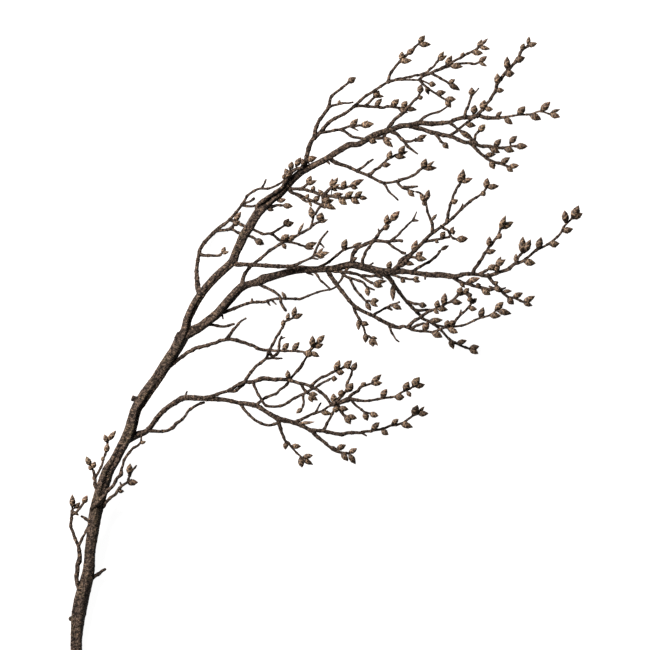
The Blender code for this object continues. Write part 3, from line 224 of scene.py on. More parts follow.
 358,320>358.5,330,4 365.3,333>365.5,342.5,5 371,338>373,346.5,6 371.5,337.5>378,345.5,3.5
 371,337>377.5,338.5,3
0 1 | 412,328,1.3 418,324.6,1.1 424,323,1 |
0 3 | 453,325,1.3 457.2,318,1.1 464,311.4 470,305,1 470.5,301,0.9 | 460,315>461,309.5,1.8
 469,308>477,309,4.5 470.5,302.5>477,298,4.5
0 6 8 8 9 | 409,326,1.6 413.2,321.4,1.4 422,315.8 430,310.8,1.2 450,301.6,1.1 457.2,294.8 461,293.5,1.6
 466,292.5 470,295.5,2 | 436,307>438,299.5,5 443,304.5>445,292.5,5.5 451.5,301>462.5,302.5,5
 437,308>448,309.5,5 434,309.5>439,313.5,3.5 458,294>461.5,286.5,5.5 464,293>469,287.5,4.5
 469,297>471.5,301.5,5

under_right_spray
0 =23 =16 =10 =5 =0.9 | 383,271,2.6 385,274 389.2,277.8,2.4 396,287.4,1.9 403.5,297.5,1.7 411.2,306,1.6
 420,314.8 423.3,318.5,1.5 431.2,322,1.4 441.2,330 449.2,338.6,1.3 460,344.8 467.2,347.6,1.2 470,348.6,1.2
 | 392.6,285>393,301,4.6 429,321>443,319.5,5 450,339.5>453.5,349,5 457,343>467,340,4.5 470,348>479.5,346,5
 470,349>478.5,353.5,5
0 2 | 407,301.5,1.3 414,303,1.1 419,303.6,1 | 419,304>427,305.5,5
0 0 | 415.5,310,1.3 423,310,1.2 430,309.2,1 |
0 0 | 430.5,322,1.1 436,324.5 447,327,0.9 |

up_limb
0 4 7 9 10 11 12 | 390,272.5,2.4 398,266.3,2.2 403.5,263.8 410,254.8,2.2 414,250.6 422,242.8,1.9
 430,234.6,1.8 442,225.8,1.6 452,218 461.2,208.8,1.4 471.4,200,1.4 478,196,1.1 483.6,191.2 485.6,188.4,1 |
 412.5,251>417,239.5,5.5 481,194.5>485.5,191.5,5 486,188>487.5,177.5,5.5 487,187>499,185.5,5
 461,208.5>462.5,203.5,1.8
0 1 0 | 394.5,269,1.3 402,259.4,1.5 409,254.5,1.2 | 403,261.5>414.5,264.5,4.5
0 1 | 407.5,257.5,1.3 411,256.5,1.2 416,257.5,1 | 416,257>423,251,5 416,258>427,259,5
0 3 4 | 447,221.5,1.5 447.8,214,1.3 451,202.8,1.2 454,193.2 460,183.4,1.1 | 451.5,203>458,199.5,4.5
 461.5,181.5>463,168.5,5.5 460,183>459,173.5,4.5 461.5,182>472.5,178,4.5
0 2 2 | 432.5,232.5,1.5 431.8,223.5 427.4,210.8,1.1 425.5,202,1 | 425,202>420,191.5,4.5 426,200>429,189,5
 425,205>421.5,202,3 421,193.5>415.5,191.3,2 431,220.5>437,213.5,3
0 -2 | 441,226,1.3 448,230.6,1.1 452,237.2 456,238.6,1 | 456.5,239>468,238,6 450,231.5>454,226,3
 451,232.5>455.5,231,5
0 -2 -3 | 424,241,1.3 430,240.2,1.1 440,238.4 449.3,236.3,1 | 441,237>445,231,5 435,240>439,242.5,3

right_upper_twig
0 5 6 6 7 8 | 234,262,3 238,264,2.4 245,264,2 270,265.5 280,266,2 290,266 297,264,1.6 301,262,1.3
 309,258.5,1.2 313,256 317,247,1.3 321,239,1.2 327.5,231,1.1 | 314,255>329.5,252,4.8 317,256>324.5,257,3.4
 318,253>323.5,247.5,2.6 311,257>318,258.8,1.8 320,243>324,247,1.8

left_arch
0 =20 =8 =0.7 =5 =8 =9 =10 | 200,291,3.4 198,288,2.8 197.3,283,2.6 196.7,276 196.5,268,2 199,252,1.8
 201,247,1.9 206,240 218,228,1.9 225,223,1.7 230,218.5 239,208,1.5 245,199 248,194.5 258,188.5,1.2 268,188
 277,184.5,1.1 284,180,1 | 262,187.5>266,179,2
0 2 | 200.5,254,1.5 206,255,1.2 219,255 221,253,1 | 222,253>225,246,4 222,253>229,251,3
0 6 6 | 216,230,1.5 223,229.5,1.3 233,229.5,1.2 238,232 250,236,1.2 255,238,1.1 | 255,239>264,244,6
 234,221>241,211,4.5
0 1 | 229,229,1.2 234,224,1.1 | 233,225>240,220.5,5
0 6 5 5 5 | 230,219,1.4 243,225,1.3 253,229 263,233.5,1.2 271,233.5,1.2 281,240.5,1.1 292,242 304,245.5,1 |
 305,246>317,242,5 304,246>314,248.5,4
0 2 | 270,233.5,1.2 275,231 284,225,1 | 284,225>289,218,5 285,225>294,222,5
0 2 | 242,204.5,1.3 250,206,1.1 255,205,1 |
0 2 | 243,203,1.2 248,201.5,1 254,198,1.2 |

dense_spray
0 5 6 6 | 286,188,2 292,188.5,1.5 303,189 314,192,1.3 324,195,1.8 331,196,1.4 345,197.7 358.5,197.2,1 |
 312,191>314,185,4 345,197>353.5,191,5 355,197>362.5,191,4.5 359,197>367.5,198,4 351,198>360,203.5,5
 332,188>337.5,190.5,3 332,195>343.5,193.5,4 339,198.5>347,204.5,5 323,195>318,189,4 325,197>329,204,6
0 1 | 301,188.5,1.3 307,184,1.1 | 307,184>311,175,5 307,184>317,180,4
0 -1 -1 | 290,189,1.8 292,192,1.4 303,196,1.2 315,202 320,204,1.2 | 306,198>309,193.5,3.5
 309,201>312,206.5,2.6 314,201>320,195.5,5
0 1 0 | 296,193.5,1.2 305,200.5 309,200.5,1 |
0 4 5 | 324,194.5,1.5 332,187,1.3 341,188,1.2 350,186,1 | 332,187>332,178,5 333,185>338,177,3.5
 332,187.5>340,184,3 342,188>345.5,180,5 350,186>364,179,5 351,186.5>358,188,4
0 -1 -2 | 323,195,1.6 323,203,1.3 320,206,1.2 315,214,1 | 324.5,202>334,199.5,4 323,203>336,209,5
 321,205>325,208,1.8

top_left_limb
0 0 -2 -3 -4 -3 -2 0 2 | 302,169.5,2.8 305,163,2.4 307,155,2.1 309,147,2.3 312,140,2.1 315,137,2.2 320,132,2
 330,121,1.9 343,114,1.7 349,110 355,105,1.6 365,96,1.5 371,92.5 388,81.5,1.4 395,80,1.2 404,79.5 420,80
 426,82,0.9 | 429,83.5>436,84.5,5
0 1 3 | 315,137,2 315.5,129,1.6 320,119,1.4 328,108,1.4 331,97,1.2 340,89 349,82,1 | 348,82>356,77,5.5
0 1 | 327.5,108,1.2 337,104,1.1 353,102,0.8 | 338,103.5>340,99.5,2.6
0 3 5 | 388,81.5,1.3 391,72,1.2 399,62 408,53,1.1 419,43,1 | 419,43>425,35,5 419,44>431,44,5
 407,54>415,48.5,5 401,60>402,51,5 400,61>412,60,5
0 2 | 387,82,1.3 397,79,1.1 412,76 427,71.5,1.1 438,60.5,1 | 438,59.5>444,51,4 438,60>447,55,4
0 2 4 | 419,80,1.3 423,76,1.2 432,72 443,67,1.2 461,57,1.1 475,49.5 479,46,1 | 446,65>452,55,5
 461,57>464,52,3.5 472,52>483,53,5 478,47>482,39,4 479,46>488,38,3 479,46.5>490,49,4
0 1 | 436,70.5,1.2 443,68 455,64,1 466,62.8 474,63.5 479,62,1 | 450,65.5>463,66.5,5 479,62>487,56,4.5
 479,62>487,66,3
0 1 | 431,72.5,1.2 437,76 449,83,1 | 449,82.5>455,79,4 449,83.5>460,90,5
0 0 | 420,80,1.2 425,85.7,1.1 437.3,94.3 446,99.5,1 | 426,87>429,94.5,3.5 436,93>446,91.5,5 446,99>456,99,5
 446,100>451,107.5,5
0 -4 -5 -5 | 354.5,105.5,1.4 362,105.5,1.2 381,107 387,106 399,107.5,1.1 405,108,1 | 375,106>382,98,4.5
 391,106>399,98.5,5.5 402,107>407,100.5,5 405,108>417,109.5,4.5 399,109>408,112.5,4
0 1 | 365,105.5,1.2 371,100 375,96.5,1 | 374,97>379,90,6 376,96>384,96,3
0 -2 -4 -5 | 320,132,1.5 330,131,1.3 341,129.5,1.3 352,136,1.2 358,137.5 366,139,1.1 | 362,138.5>368,142,3
0 1 | 340,129.5,1.2 348,126.5 360,125,1 | 350,126.5>358,118,5 352,127>358,130,1.6 361,125>374,123.5,6
 362,125>368,120,3

right_twig
0 -1 -1 0 | 329,156.5,2.4 333,161 340,164 347,166 358,171,1.6 369,175.5 381,181.7,1.4 390,182.2,1.2
 399,180,1.1 |
0 1 | 357,170.5,1.3 362,167,1.1 371,160,1 373,159,0.8 |
0 1 1 | 368,175,1.4 380,166,1.1 388,158.5 398,154,1 | 388,159>391,150,5 382,165>391,164,4.5
 399,153.5>405,145,5 399,154>408,151,3 395,156>406,157,4.5
0 -1 | 383,182,1.2 389.2,191.2,0.9 398,199.8,0.7 |
0 1 2 | 398,180,1.4 406,178,1.2 415,173.6 422,168,1.1 | 422,167.5>426,158,5.5 424,168.4>437,167.5,4.5
 425,168>434.5,160.5,3
0 -2 | 397,180.5,1.3 400,185.4,1.1 409,190,1 414,191.2,0.8 | 404,187>417.5,186,2.4 408,189.8>414.5,196.5,4.5

tip_fork
0 -2 -3 -3 -3 -2 0 | 410,125,2.2 415,127 420,128.4,1.8 430,131.4,1.9 440,133.9,1.8 452,136.4,1.7
 463,141.4,1.7 470,142.2 480,145.3,1.5 492,146.6,1.5 502,147.7,1.2 507,146.8 512,145.8,1 517,145.9,1 |
 494,146>501,138.5,5 490,148>500,152.5,5 510,142.5>517,135.5,5.2 516,145.9>527.5,145.9,5.6
 504,148>514.5,151,5
0 -1 -1 | 470,142.5,1.5 480,152.3,1.3 489.3,159.6 500,163,1.2 508,166.2,1 | 485.5,155>496,153.8,4.5
 490.3,161>494.3,169,5.5 501,163>510,157,5 509,166>519,165,4.5 507,167>513,171.5,4.5
0 1 | 436,133.5,1.4 440.6,140.6,1.1 443,142.5,1 | 443,142.5>448.5,148.5,5
0 1 | 473.2,142.5,1.3 475.4,135,1.1 478,131.4,1 | 478.5,131>485,124,5.5
0 1 | 450,135.5,1.3 460.5,127.2,1.2 466.5,122.6 472,118.8,1 | 466,124>476,125.5,5
0 1 1 | 476,142.5,1.5 471,138.5 466,134.5 461,131,1.2 455,126.5 450,123.2,1 | 460,130.5>474,140,5

top_right_twig
0 4 5 6 7 | 478,115.5,1.8 479.5,112,1.5 488.5,101,1.3 494.7,91.5 497.5,83,1.6 505,73 517,59.5,1.2 521,51
 528,45.5,1 | 528,45>529,36,3.5 528,45.5>537,43,4.5 521,50>524,43,4.5 515,60.5>525,57,6 507,69>507,56,5.5
 505,74>514.5,73,6 497,84>497,73,5.6 496,90>504,90,4.5 483,110>484.5,99.5,7 485,108.5>493,109,4.5
"""
SPRAYS = dict(block.split("\n", 1) for block in ROUTES.strip().split("\n\n"))
print("sprays:", len(SPRAYS))

# %% [markdown]
# The plan's own origin is a corner, and the frame's origin is under the middle of the
# branch. Two numbers join them: the plan point that stands over the origin.

# %% Places on the plan
PLAN_MIDDLE = (326.063, 346.502)
BUD_PITCH = (-12, 26)
SEED = 11

# The least step in plan from a carrier to a limb's first point, and the least radius, in mm.
ROOT_STEP = 0.3
LEAST_RADIUS = 0.35


def on_plan(across, down):
    """A plan point in the frame, in mm."""
    return np.array([across - PLAN_MIDDLE[0], PLAN_MIDDLE[1] - down, 0.0])


def nearest(limb, place):
    """The row of a limb (x, y, z, radius) nearest in plan to a place, and how far off it is."""
    start, end = limb[:-1], limb[1:]
    run = end[:, :2] - start[:, :2]
    share = ((place[:2] - start[:, :2]) * run).sum(axis=1) / np.maximum((run ** 2).sum(axis=1), 1e-9)
    spots = start + np.clip(share, 0, 1)[:, None] * (end - start)
    away = np.linalg.norm(spots[:, :2] - place[:2], axis=1)
    best = int(away.argmin())
    return spots[best], away[best]


print("the plan's upper left corner lies at", on_plan(0, 0).round(1))

# %% [markdown]
# A limb is kept as rows of x, y, z and radius. It starts on the middle line of what carries
# it, so its root is sunk in the wood like a real twig's. Between the points that were read, a
# smooth curve (Catmull-Rom) gives the bends of grown wood instead of straight runs.

# %% Read the limbs
def read_limb(heights, route, carriers):
    """A limb from the words of its row, rooted in the nearest of its carriers."""
    rows, stated = [], []
    for number, word in enumerate(route):
        values = [float(value) for value in word.split(",")]
        rows.append(on_plan(*values[:2]))
        if len(values) > 2:
            stated.append((number, values[2]))
    radii = np.interp(range(len(rows)), *zip(*stated))
    limb = np.column_stack([rows, radii])
    base = float(heights[0])
    if carriers:
        root = min((nearest(carrier, limb[0]) for carrier in carriers), key=lambda found: found[1])[0]
        base = root[2]
        if np.linalg.norm(root[:2] - limb[0, :2]) > ROOT_STEP:
            limb = np.vstack([[*root[:3], limb[0, 3]], limb])
        limb[0, :2] = root[:2]
    ground = base if carriers else 0.0
    levels = [base]
    for word in heights[1:]:
        levels.append(float(word[1:]) if word.startswith("=") else ground + float(word))
    steps = np.linalg.norm(np.diff(limb[:, :2], axis=0), axis=1)
    lengths = np.concatenate([[0.0], steps.cumsum()])
    limb[:, 2] = np.interp(lengths, np.linspace(0, lengths[-1], len(levels)), levels)
    return limb


def smooth(limb, step):
    """The limb as a Catmull-Rom curve with a row about every step mm."""
    padded = np.vstack([2 * limb[0] - limb[1], limb, 2 * limb[-1] - limb[-2]])
    rows = []
    for before, start, end, after in zip(padded, padded[1:], padded[2:], padded[3:]):
        count = max(1, round(float(np.linalg.norm(end[:3] - start[:3])) / step))
        share = np.arange(count)[:, None] / count
        rows.append(0.5 * (2 * start + (end - before) * share
                           + (2 * before - 5 * start + 4 * end - after) * share ** 2
                           + (3 * start - before - 3 * end + after) * share ** 3))
    curve = np.vstack([*rows, limb[-1:]])
    curve[:, 3] = np.maximum(curve[:, 3], LEAST_RADIUS)
    return curve


def read_spray(name, carriers):
    """The limbs of a spray and its growths: base, tip, width and root, in mm."""
    draw = random.Random(f"{SEED} {name}")
    limbs, growths = [], []
    for row in SPRAYS[name].strip().replace("\n ", " ").splitlines():
        heights, route, buds = [part.split() for part in row.split("|")]
        limb = read_limb(heights, route, limbs or carriers)
        limbs.append(limb)
        for bud in buds:
            base_words, tip_words = bud.split(">")
            base = on_plan(*[float(value) for value in base_words.split(",")])
            across, down, width = [float(value) for value in tip_words.split(",")]
            tip = on_plan(across, down)
            root = nearest(limb, base)[0][:3]
            pitch = math.radians(draw.uniform(*BUD_PITCH))
            base[2] = root[2]
            tip[2] = root[2] + np.linalg.norm((tip - base)[:2]) * math.tan(pitch)
            growths.append((base, tip, width, root))
    return limbs, growths


sprays = {}
every_limb = []
for spray_name in SPRAYS:
    sprays[spray_name] = read_spray(spray_name, every_limb)
    every_limb += sprays[spray_name][0]
print("limbs and twigs:", len(every_limb), "growths:", sum(len(found[1]) for found in sprays.values()))

# %% [markdown]
# A swept skin needs a frame at each ring that doesn't spin as the limb bends. Each ring's
# first direction is carried on from the last ring, with only the part along the limb taken
# out. The same sweep makes wood, stubs and buds: only the radius of each vertex differs.

# %% Sweep a skin
LOWEST = 0.02


def make_piece(name, spots, faces, marks, material):
    """An object from vertices in mm, faces and the values that each vertex carries."""
    mesh = bpy.data.meshes.new(name)
    mesh.from_pydata((spots * MM).tolist(), [], faces)
    for key, values in marks.items():
        layer = mesh.attributes.new(key, "FLOAT", "POINT")
        layer.data.foreach_set("value", np.asarray(values, np.float32))
    mesh.materials.append(material)
    mesh.shade_smooth()
    made = bpy.data.objects.new(name, mesh)
    bpy.context.scene.collection.objects.link(made)
    return made


class Skin:
    """Vertices, faces and per-vertex values of one piece while it is made."""

    def __init__(self):
        self.spots, self.faces, self.marks = [], [], {}
        self.count = 0

    def add(self, line, radius, marks):
        """Adds a tube: line is rings by x, y, z and radius is rings by sides, all in mm."""
        rings, sides = radius.shape
        ahead = np.gradient(line, axis=0)
        ahead /= np.linalg.norm(ahead, axis=1)[:, None] + 1e-12
        first = np.cross(ahead[0], [0.0, 0.0, 1.0])
        if np.linalg.norm(first) < 0.1:
            first = np.array([1.0, 0.0, 0.0])
        across = np.empty_like(line)
        for number in range(rings):
            first = first - ahead[number] * first.dot(ahead[number])
            first /= np.linalg.norm(first)
            across[number] = first
        up = np.cross(ahead, across)
        turn = np.linspace(0, 2 * np.pi, sides, endpoint=False)
        out = np.cos(turn)[None, :, None] * across[:, None] + np.sin(turn)[None, :, None] * up[:, None]
        skin = (line[:, None] + radius[:, :, None] * out).reshape(-1, 3)
        skin[:, 2] = np.maximum(skin[:, 2], LOWEST)
        ring = np.arange(sides)
        beside = (ring + 1) % sides
        start = self.count + np.arange(rings - 1)[:, None] * sides
        quads = np.stack([start + ring, start + beside, start + sides + beside, start + sides + ring], -1)
        self.faces += quads.reshape(-1, 4).tolist()
        self.faces.append((self.count + ring[::-1]).tolist())
        self.faces.append((self.count + (rings - 1) * sides + ring).tolist())
        self.spots.append(skin)
        for key, values in marks.items():
            self.marks.setdefault(key, []).append(np.broadcast_to(values, radius.shape).reshape(-1))
        self.count += len(skin)

    def piece(self, name, material):
        marks = {key: np.concatenate(values) for key, values in self.marks.items()}
        return make_piece(name, np.vstack(self.spots), self.faces, marks, material)


def waves(draw, first, second, count, reach):
    """A smooth random relief between about -1 and 1 over two coordinates."""
    total = np.zeros(np.broadcast(first, second).shape)
    for _ in range(count):
        around = draw.randint(1, reach)
        total = total + np.sin(around * first + draw.uniform(0.3, 1.0) * second / (1 + around)
                               + draw.uniform(0, 2 * math.pi))
    return total / math.sqrt(count)


print("the sweep keeps its skins above", LOWEST, "mm")

# %% [markdown]
# Wood first. A real limb isn't a pipe: it has a swollen collar where it leaves its carrier,
# shallow ridges that run along it, ring scars where each year's bud once sat, and lenticels,
# the pale corky dashes that lie across young cherry-like bark. All of them are relief in the
# skin, and the same numbers are kept per vertex, so that the material can colour them.

# %% Wood
THICK_STEP, THIN_STEP = 0.55, 0.85
THICK_RADIUS, STEM_RADIUS = 2.4, 4.4
STEM_SIDES, LIMB_SIDES, TWIG_SIDES = 36, 22, 11
TAIL_ENDS = ((0.45, 0.85), (0.75, 0.5), (0.85, 0.15))
COLLAR_SWELL, COLLAR_REACH = 0.45, 2.6
RIDGE_DEPTH, LUMP_DEPTH, LENTICEL_DEPTH = 0.11, 0.06, 0.05
TWIG_FULLNESS = 1.2
TWIG_WANDER, WANDER_EASE = 0.22, 4
SCAR_SPACING = (7.0, 15.0)
SCAR_WIDTH, PAIR_WIDTH, PAIR_STEP = 0.7, 0.5, 1.5
LENTICEL_SPACING = 3.0
LENTICEL_WIDTH, LENTICEL_HEIGHT = (0.4, 1.2), (0.2, 0.36)


def bumps(places, centres, width):
    """A row of smooth bumps of height 1 at each centre."""
    return np.exp(-(((places[:, None] - centres) / width) ** 2)).max(axis=1)


def lenticels(draw, length, turn, places, radius):
    """Pale dashes across the bark: how much of one covers each vertex, from 0 to 1."""
    cover = np.zeros((len(places), len(turn)))
    count = int(length * radius.mean() / LENTICEL_SPACING)
    for _ in range(count):
        along, around = draw.uniform(3, max(length - 2, 4)), draw.uniform(0, 2 * math.pi)
        wide, high = draw.uniform(*LENTICEL_WIDTH), draw.uniform(*LENTICEL_HEIGHT)
        near = np.abs(places - along) < 3 * high
        girth = radius[near, None]
        swing = np.angle(np.exp(1j * (turn - around)))[None] * girth
        spot = np.exp(-(((places[near, None] - along) / high) ** 2) - (swing / wide) ** 2)
        cover[near] = np.maximum(cover[near], spot)
    return cover


def add_wood(skin, draw, limb, rooted):
    """One limb, twig or stub: its bark with collar, ridges, scars and lenticels."""
    thick = limb[:, 3].max() >= THICK_RADIUS
    curve = smooth(limb, THICK_STEP if thick else THIN_STEP)
    if not rooted or limb[-1, 3] < THICK_RADIUS:
        ending = curve[-1].copy()
        way = ending[:3] - curve[-2][:3]
        way /= np.linalg.norm(way)
        tail = [np.append(ending[:3] + way * ending[3] * reach, ending[3] * size)
                for reach, size in TAIL_ENDS]
        curve = np.vstack([curve, tail])
    steps = np.linalg.norm(np.diff(curve[:, :3], axis=0), axis=1)
    places = np.concatenate([[0.0], steps.cumsum()])
    if not thick:
        curve[:, 3] *= TWIG_FULLNESS
        ease = np.clip(np.minimum(places, places[-1] - places) / WANDER_EASE, 0, 1)
        for axis in range(3):
            curve[:, axis] += TWIG_WANDER * ease * waves(draw, places * 0.22, places * 0.3, 4, 3)
    radius = curve[:, 3]
    sides = STEM_SIDES if radius.max() > STEM_RADIUS else LIMB_SIDES if thick else TWIG_SIDES
    turn = np.linspace(0, 2 * np.pi, sides, endpoint=False)
    scars = np.cumsum([draw.uniform(*SCAR_SPACING) for _ in range(int(places[-1] / 8) + 1)])
    scar = bumps(places, scars, SCAR_WIDTH)
    pair = bumps(places, scars + PAIR_STEP, PAIR_WIDTH)
    collar = COLLAR_SWELL * np.exp(-places / COLLAR_REACH) if rooted else np.zeros_like(places)
    lens = lenticels(draw, places[-1], turn, places, radius)
    relief = waves(draw, turn[None], places[:, None] * 0.35, 9, 7)
    lumps = waves(draw, turn[None], places[:, None] * 0.16, 4, 2)
    young = np.clip(1.4 - radius / 3.2, 0.0, 1.0)[:, None]
    knot = np.clip(0.52 - 0.13 * radius, 0.05, 0.36)
    swell = 1 + collar + knot * scar + 0.6 * knot * pair
    deep = RIDGE_DEPTH * (1 - 0.6 * young) * relief + LUMP_DEPTH * lumps + LENTICEL_DEPTH * lens
    skin.add(curve[:, :3], radius[:, None] * (swell[:, None] + deep), {
        "girth": radius[:, None],
        "lenticel": lens,
        # Painted shade: the furrow value darkens the troughs between the bark's ridges.
        "furrow_painted_shade": np.clip(0.5 - 0.5 * relief, 0, 1),
        "scar": np.maximum(scar, 0.8 * pair)[:, None],
    })


def add_stub(skin, draw, base, tip, width, root):
    """A bare spur or a broken stub, as a short twig of its own."""
    radius = width / 2
    rows = [[*root, radius * 1.2], [*base, radius], [*tip, radius * 0.7]]
    if np.linalg.norm(base - root) < 0.4:
        rows.pop(1)
    add_wood(skin, draw, np.array(rows), True)


print("sides of stem, limb and twig:", STEM_SIDES, LIMB_SIDES, TWIG_SIDES)

# %% [markdown]
# A winter bud is a spindle wrapped in overlapping scales. Each scale is a pointed tongue with
# its own place around the bud. The lower ones lie outside, so a vertex takes its thickness
# and its rim from the lowest scale that reaches it. The scales step round by the golden
# angle, as they do on the plant.

# %% Buds
SCALE_COUNT = 12
GOLDEN_TURN = math.radians(137.5)
BUD_SIDES, BUD_RINGS = 18, 30
SCALE_STEP, RIM_STEP = 0.036, 0.05
LOW_REACH, REACH_GAIN = 0.26, 0.78
LOW_WIDTH, WIDTH_LOSS = 1.5, 0.5
RIM_WIDTH, PAINTED_SHADE_WIDTH = 0.045, 0.2
BUD_SHAPE = ((0.0, 0.36), (0.08, 0.52), (0.2, 0.8), (0.38, 1.0), (0.55, 1.03), (0.7, 0.88),
             (0.82, 0.63), (0.92, 0.35), (1.0, 0.06))


def bud_scales(share, turn, twist):
    """Thickness, rim and painted crease shade of the outermost scale at each place of a bud."""
    thickness = np.zeros(np.broadcast(share, turn).shape)
    rim, shade = np.zeros_like(thickness), np.zeros_like(thickness)
    free = np.ones_like(thickness, bool)
    for number in range(SCALE_COUNT):
        reach = LOW_REACH + REACH_GAIN * (number + 1) / SCALE_COUNT
        width = LOW_WIDTH - WIDTH_LOSS * number / SCALE_COUNT
        swing = np.angle(np.exp(1j * (turn - twist - number * GOLDEN_TURN))) / width
        edge = reach * (1 - 0.62 * np.abs(swing) ** 1.7)
        inside = free & (share < edge) & (np.abs(swing) < 1)
        rim[inside] = np.exp(-(((edge - share) / RIM_WIDTH) ** 2))[inside]
        # Painted shade: darkest where a scale comes out from under the scale outside it, none at its own
        # edge.
        shade[inside] = np.clip((edge - share) / PAINTED_SHADE_WIDTH, 0, 1)[inside]
        thickness[inside] = SCALE_COUNT - number
        free &= ~inside
    return thickness, rim, shade


def add_bud(skin, draw, base, tip, width, root):
    """One bud, with a stalk that is sunk in its host and a slight bend towards the light."""
    bend = np.array([draw.uniform(-1, 1), draw.uniform(-1, 1), draw.uniform(0, 1.4)]) * 0.05 * width
    share = np.linspace(0, 1, BUD_RINGS) ** 0.92
    body = base + (tip - base) * share[:, None] + bend * np.sin(np.pi * share)[:, None]
    stalk = root + (base - root) * np.array([0.0, 0.55])[:, None]
    far = np.linalg.norm(base - root)
    parts = [stalk[:1] if far < 1.2 else stalk, body]
    line = np.vstack(parts)
    along = np.concatenate([np.full(len(parts[0]), -0.1), share])
    shape = np.interp(share, *zip(*BUD_SHAPE))
    radius = np.concatenate([np.full(len(parts[0]), 0.4), shape]) * width / 2
    turn = np.linspace(0, 2 * np.pi, BUD_SIDES, endpoint=False)
    thickness, rim, shade = bud_scales(along[:, None], turn[None], draw.uniform(0, 2 * math.pi))
    tone = draw.choices(("plain", "red", "olive", "tan"), (7, 3, 1.6, 1.6))[0]
    on_body = (along >= 0)[:, None]
    thick = radius[:, None] * (0.9 + (SCALE_STEP * thickness + RIM_STEP * rim) * on_body)
    skin.add(line, np.maximum(thick, 0.05), {
        "share": along[:, None],
        "rim": rim * on_body,
        "shade": shade,
        **{key: float(key == tone) for key in ("red", "olive", "tan")},
        "dusk": draw.uniform(0.0, 0.4),
    })


print("scales on a bud:", SCALE_COUNT)

# %% [markdown]
# Bark and bud share one effect: a fine uneven grain that breaks up every colour and every
# highlight. It is a node group with named sockets, built once, and each material sets its
# own scale and contrast.

# %% A shared grain
def grain_group():
    group = bpy.data.node_groups.new("uneven grain", "ShaderNodeTree")
    for socket, way in (("Scale", "INPUT"), ("Contrast", "INPUT"), ("Grain", "OUTPUT")):
        group.interface.new_socket(socket, in_out=way, socket_type="NodeSocketFloat")
    enter, leave = group.nodes.new("NodeGroupInput"), group.nodes.new("NodeGroupOutput")
    place, noise = group.nodes.new("ShaderNodeTexCoord"), group.nodes.new("ShaderNodeTexNoise")
    noise.inputs["Detail"].default_value = 5.0
    noise.inputs["Roughness"].default_value = 0.62
    spread, gain, middle = [group.nodes.new("ShaderNodeMath") for _ in range(3)]
    spread.operation, gain.operation, middle.operation = "SUBTRACT", "MULTIPLY", "ADD"
    spread.inputs[1].default_value = middle.inputs[1].default_value = 0.5
    middle.use_clamp = True
    link = group.links.new
    link(place.outputs["Object"], noise.inputs["Vector"])
    link(enter.outputs["Scale"], noise.inputs["Scale"])
    link(noise.outputs["Fac"], spread.inputs[0])
    link(spread.outputs[0], gain.inputs[0])
    link(enter.outputs["Contrast"], gain.inputs[1])
    link(gain.outputs[0], middle.inputs[0])
    link(middle.outputs[0], leave.inputs["Grain"])
    return group


GRAIN = grain_group()
print("group:", GRAIN.name)

# %% Small helpers for materials
class Finish:
    """A material with its Principled shader and short calls for the nodes that it needs."""

    def __init__(self, name):
        self.material = bpy.data.materials.new(name)
        self.material.use_nodes = True
        self.tree = self.material.node_tree
        self.shader = self.tree.nodes["Principled BSDF"]

    def set(self, **values):
        for key, value in values.items():
            self.feed(self.shader.inputs[key.replace("_", " ")], value)

    def grain(self, scale, contrast):
        node = self.tree.nodes.new("ShaderNodeGroup")
        node.node_tree = GRAIN
        node.inputs["Scale"].default_value = scale
        node.inputs["Contrast"].default_value = contrast
        return node.outputs["Grain"]

    def mark(self, name):
        node = self.tree.nodes.new("ShaderNodeAttribute")
        node.attribute_name = name
        return node.outputs["Fac"]

    def math(self, operation, *values):
        node = self.tree.nodes.new("ShaderNodeMath")
        node.operation = operation
        node.use_clamp = True
        for socket, value in zip(node.inputs, values):
            self.feed(socket, value)
        return node.outputs[0]

    def ramp(self, value, stops):
        node = self.tree.nodes.new("ShaderNodeValToRGB")
        while len(node.color_ramp.elements) < len(stops):
            node.color_ramp.elements.new(0.5)
        for element, (place, colour) in zip(node.color_ramp.elements, stops):
            element.position = place
            element.color = (*np.broadcast_to(colour, 3), 1.0)
        self.feed(node.inputs[0], value)
        return node.outputs["Color"]

    def mix(self, amount, first, second):
        node = self.tree.nodes.new("ShaderNodeMix")
        node.data_type = "RGBA"
        for socket, value in zip((node.inputs[0], node.inputs[6], node.inputs[7]), (amount, first, second)):
            self.feed(socket, value)
        return node.outputs[2]

    def coats(self, colour, rows):
        """Lays one colour after another over the first, each by its mask times an amount."""
        for mask, amount, paint in rows:
            colour = self.mix(self.math("MULTIPLY", mask, amount), colour, paint)
        return colour

    def feed(self, socket, value):
        if isinstance(value, (int, float)):
            socket.default_value = value
        elif isinstance(value, tuple):
            socket.default_value = (*value, 1.0)
        else:
            self.tree.links.new(value, socket)

    def bump(self, height, distance, strength):
        node = self.tree.nodes.new("ShaderNodeBump")
        for key, value in (("Height", height), ("Distance", distance), ("Strength", strength)):
            self.feed(node.inputs[key], value)
        self.set(Normal=node.outputs[0])


print("calls of a finish:", [name for name in vars(Finish) if name[0] != "_"])
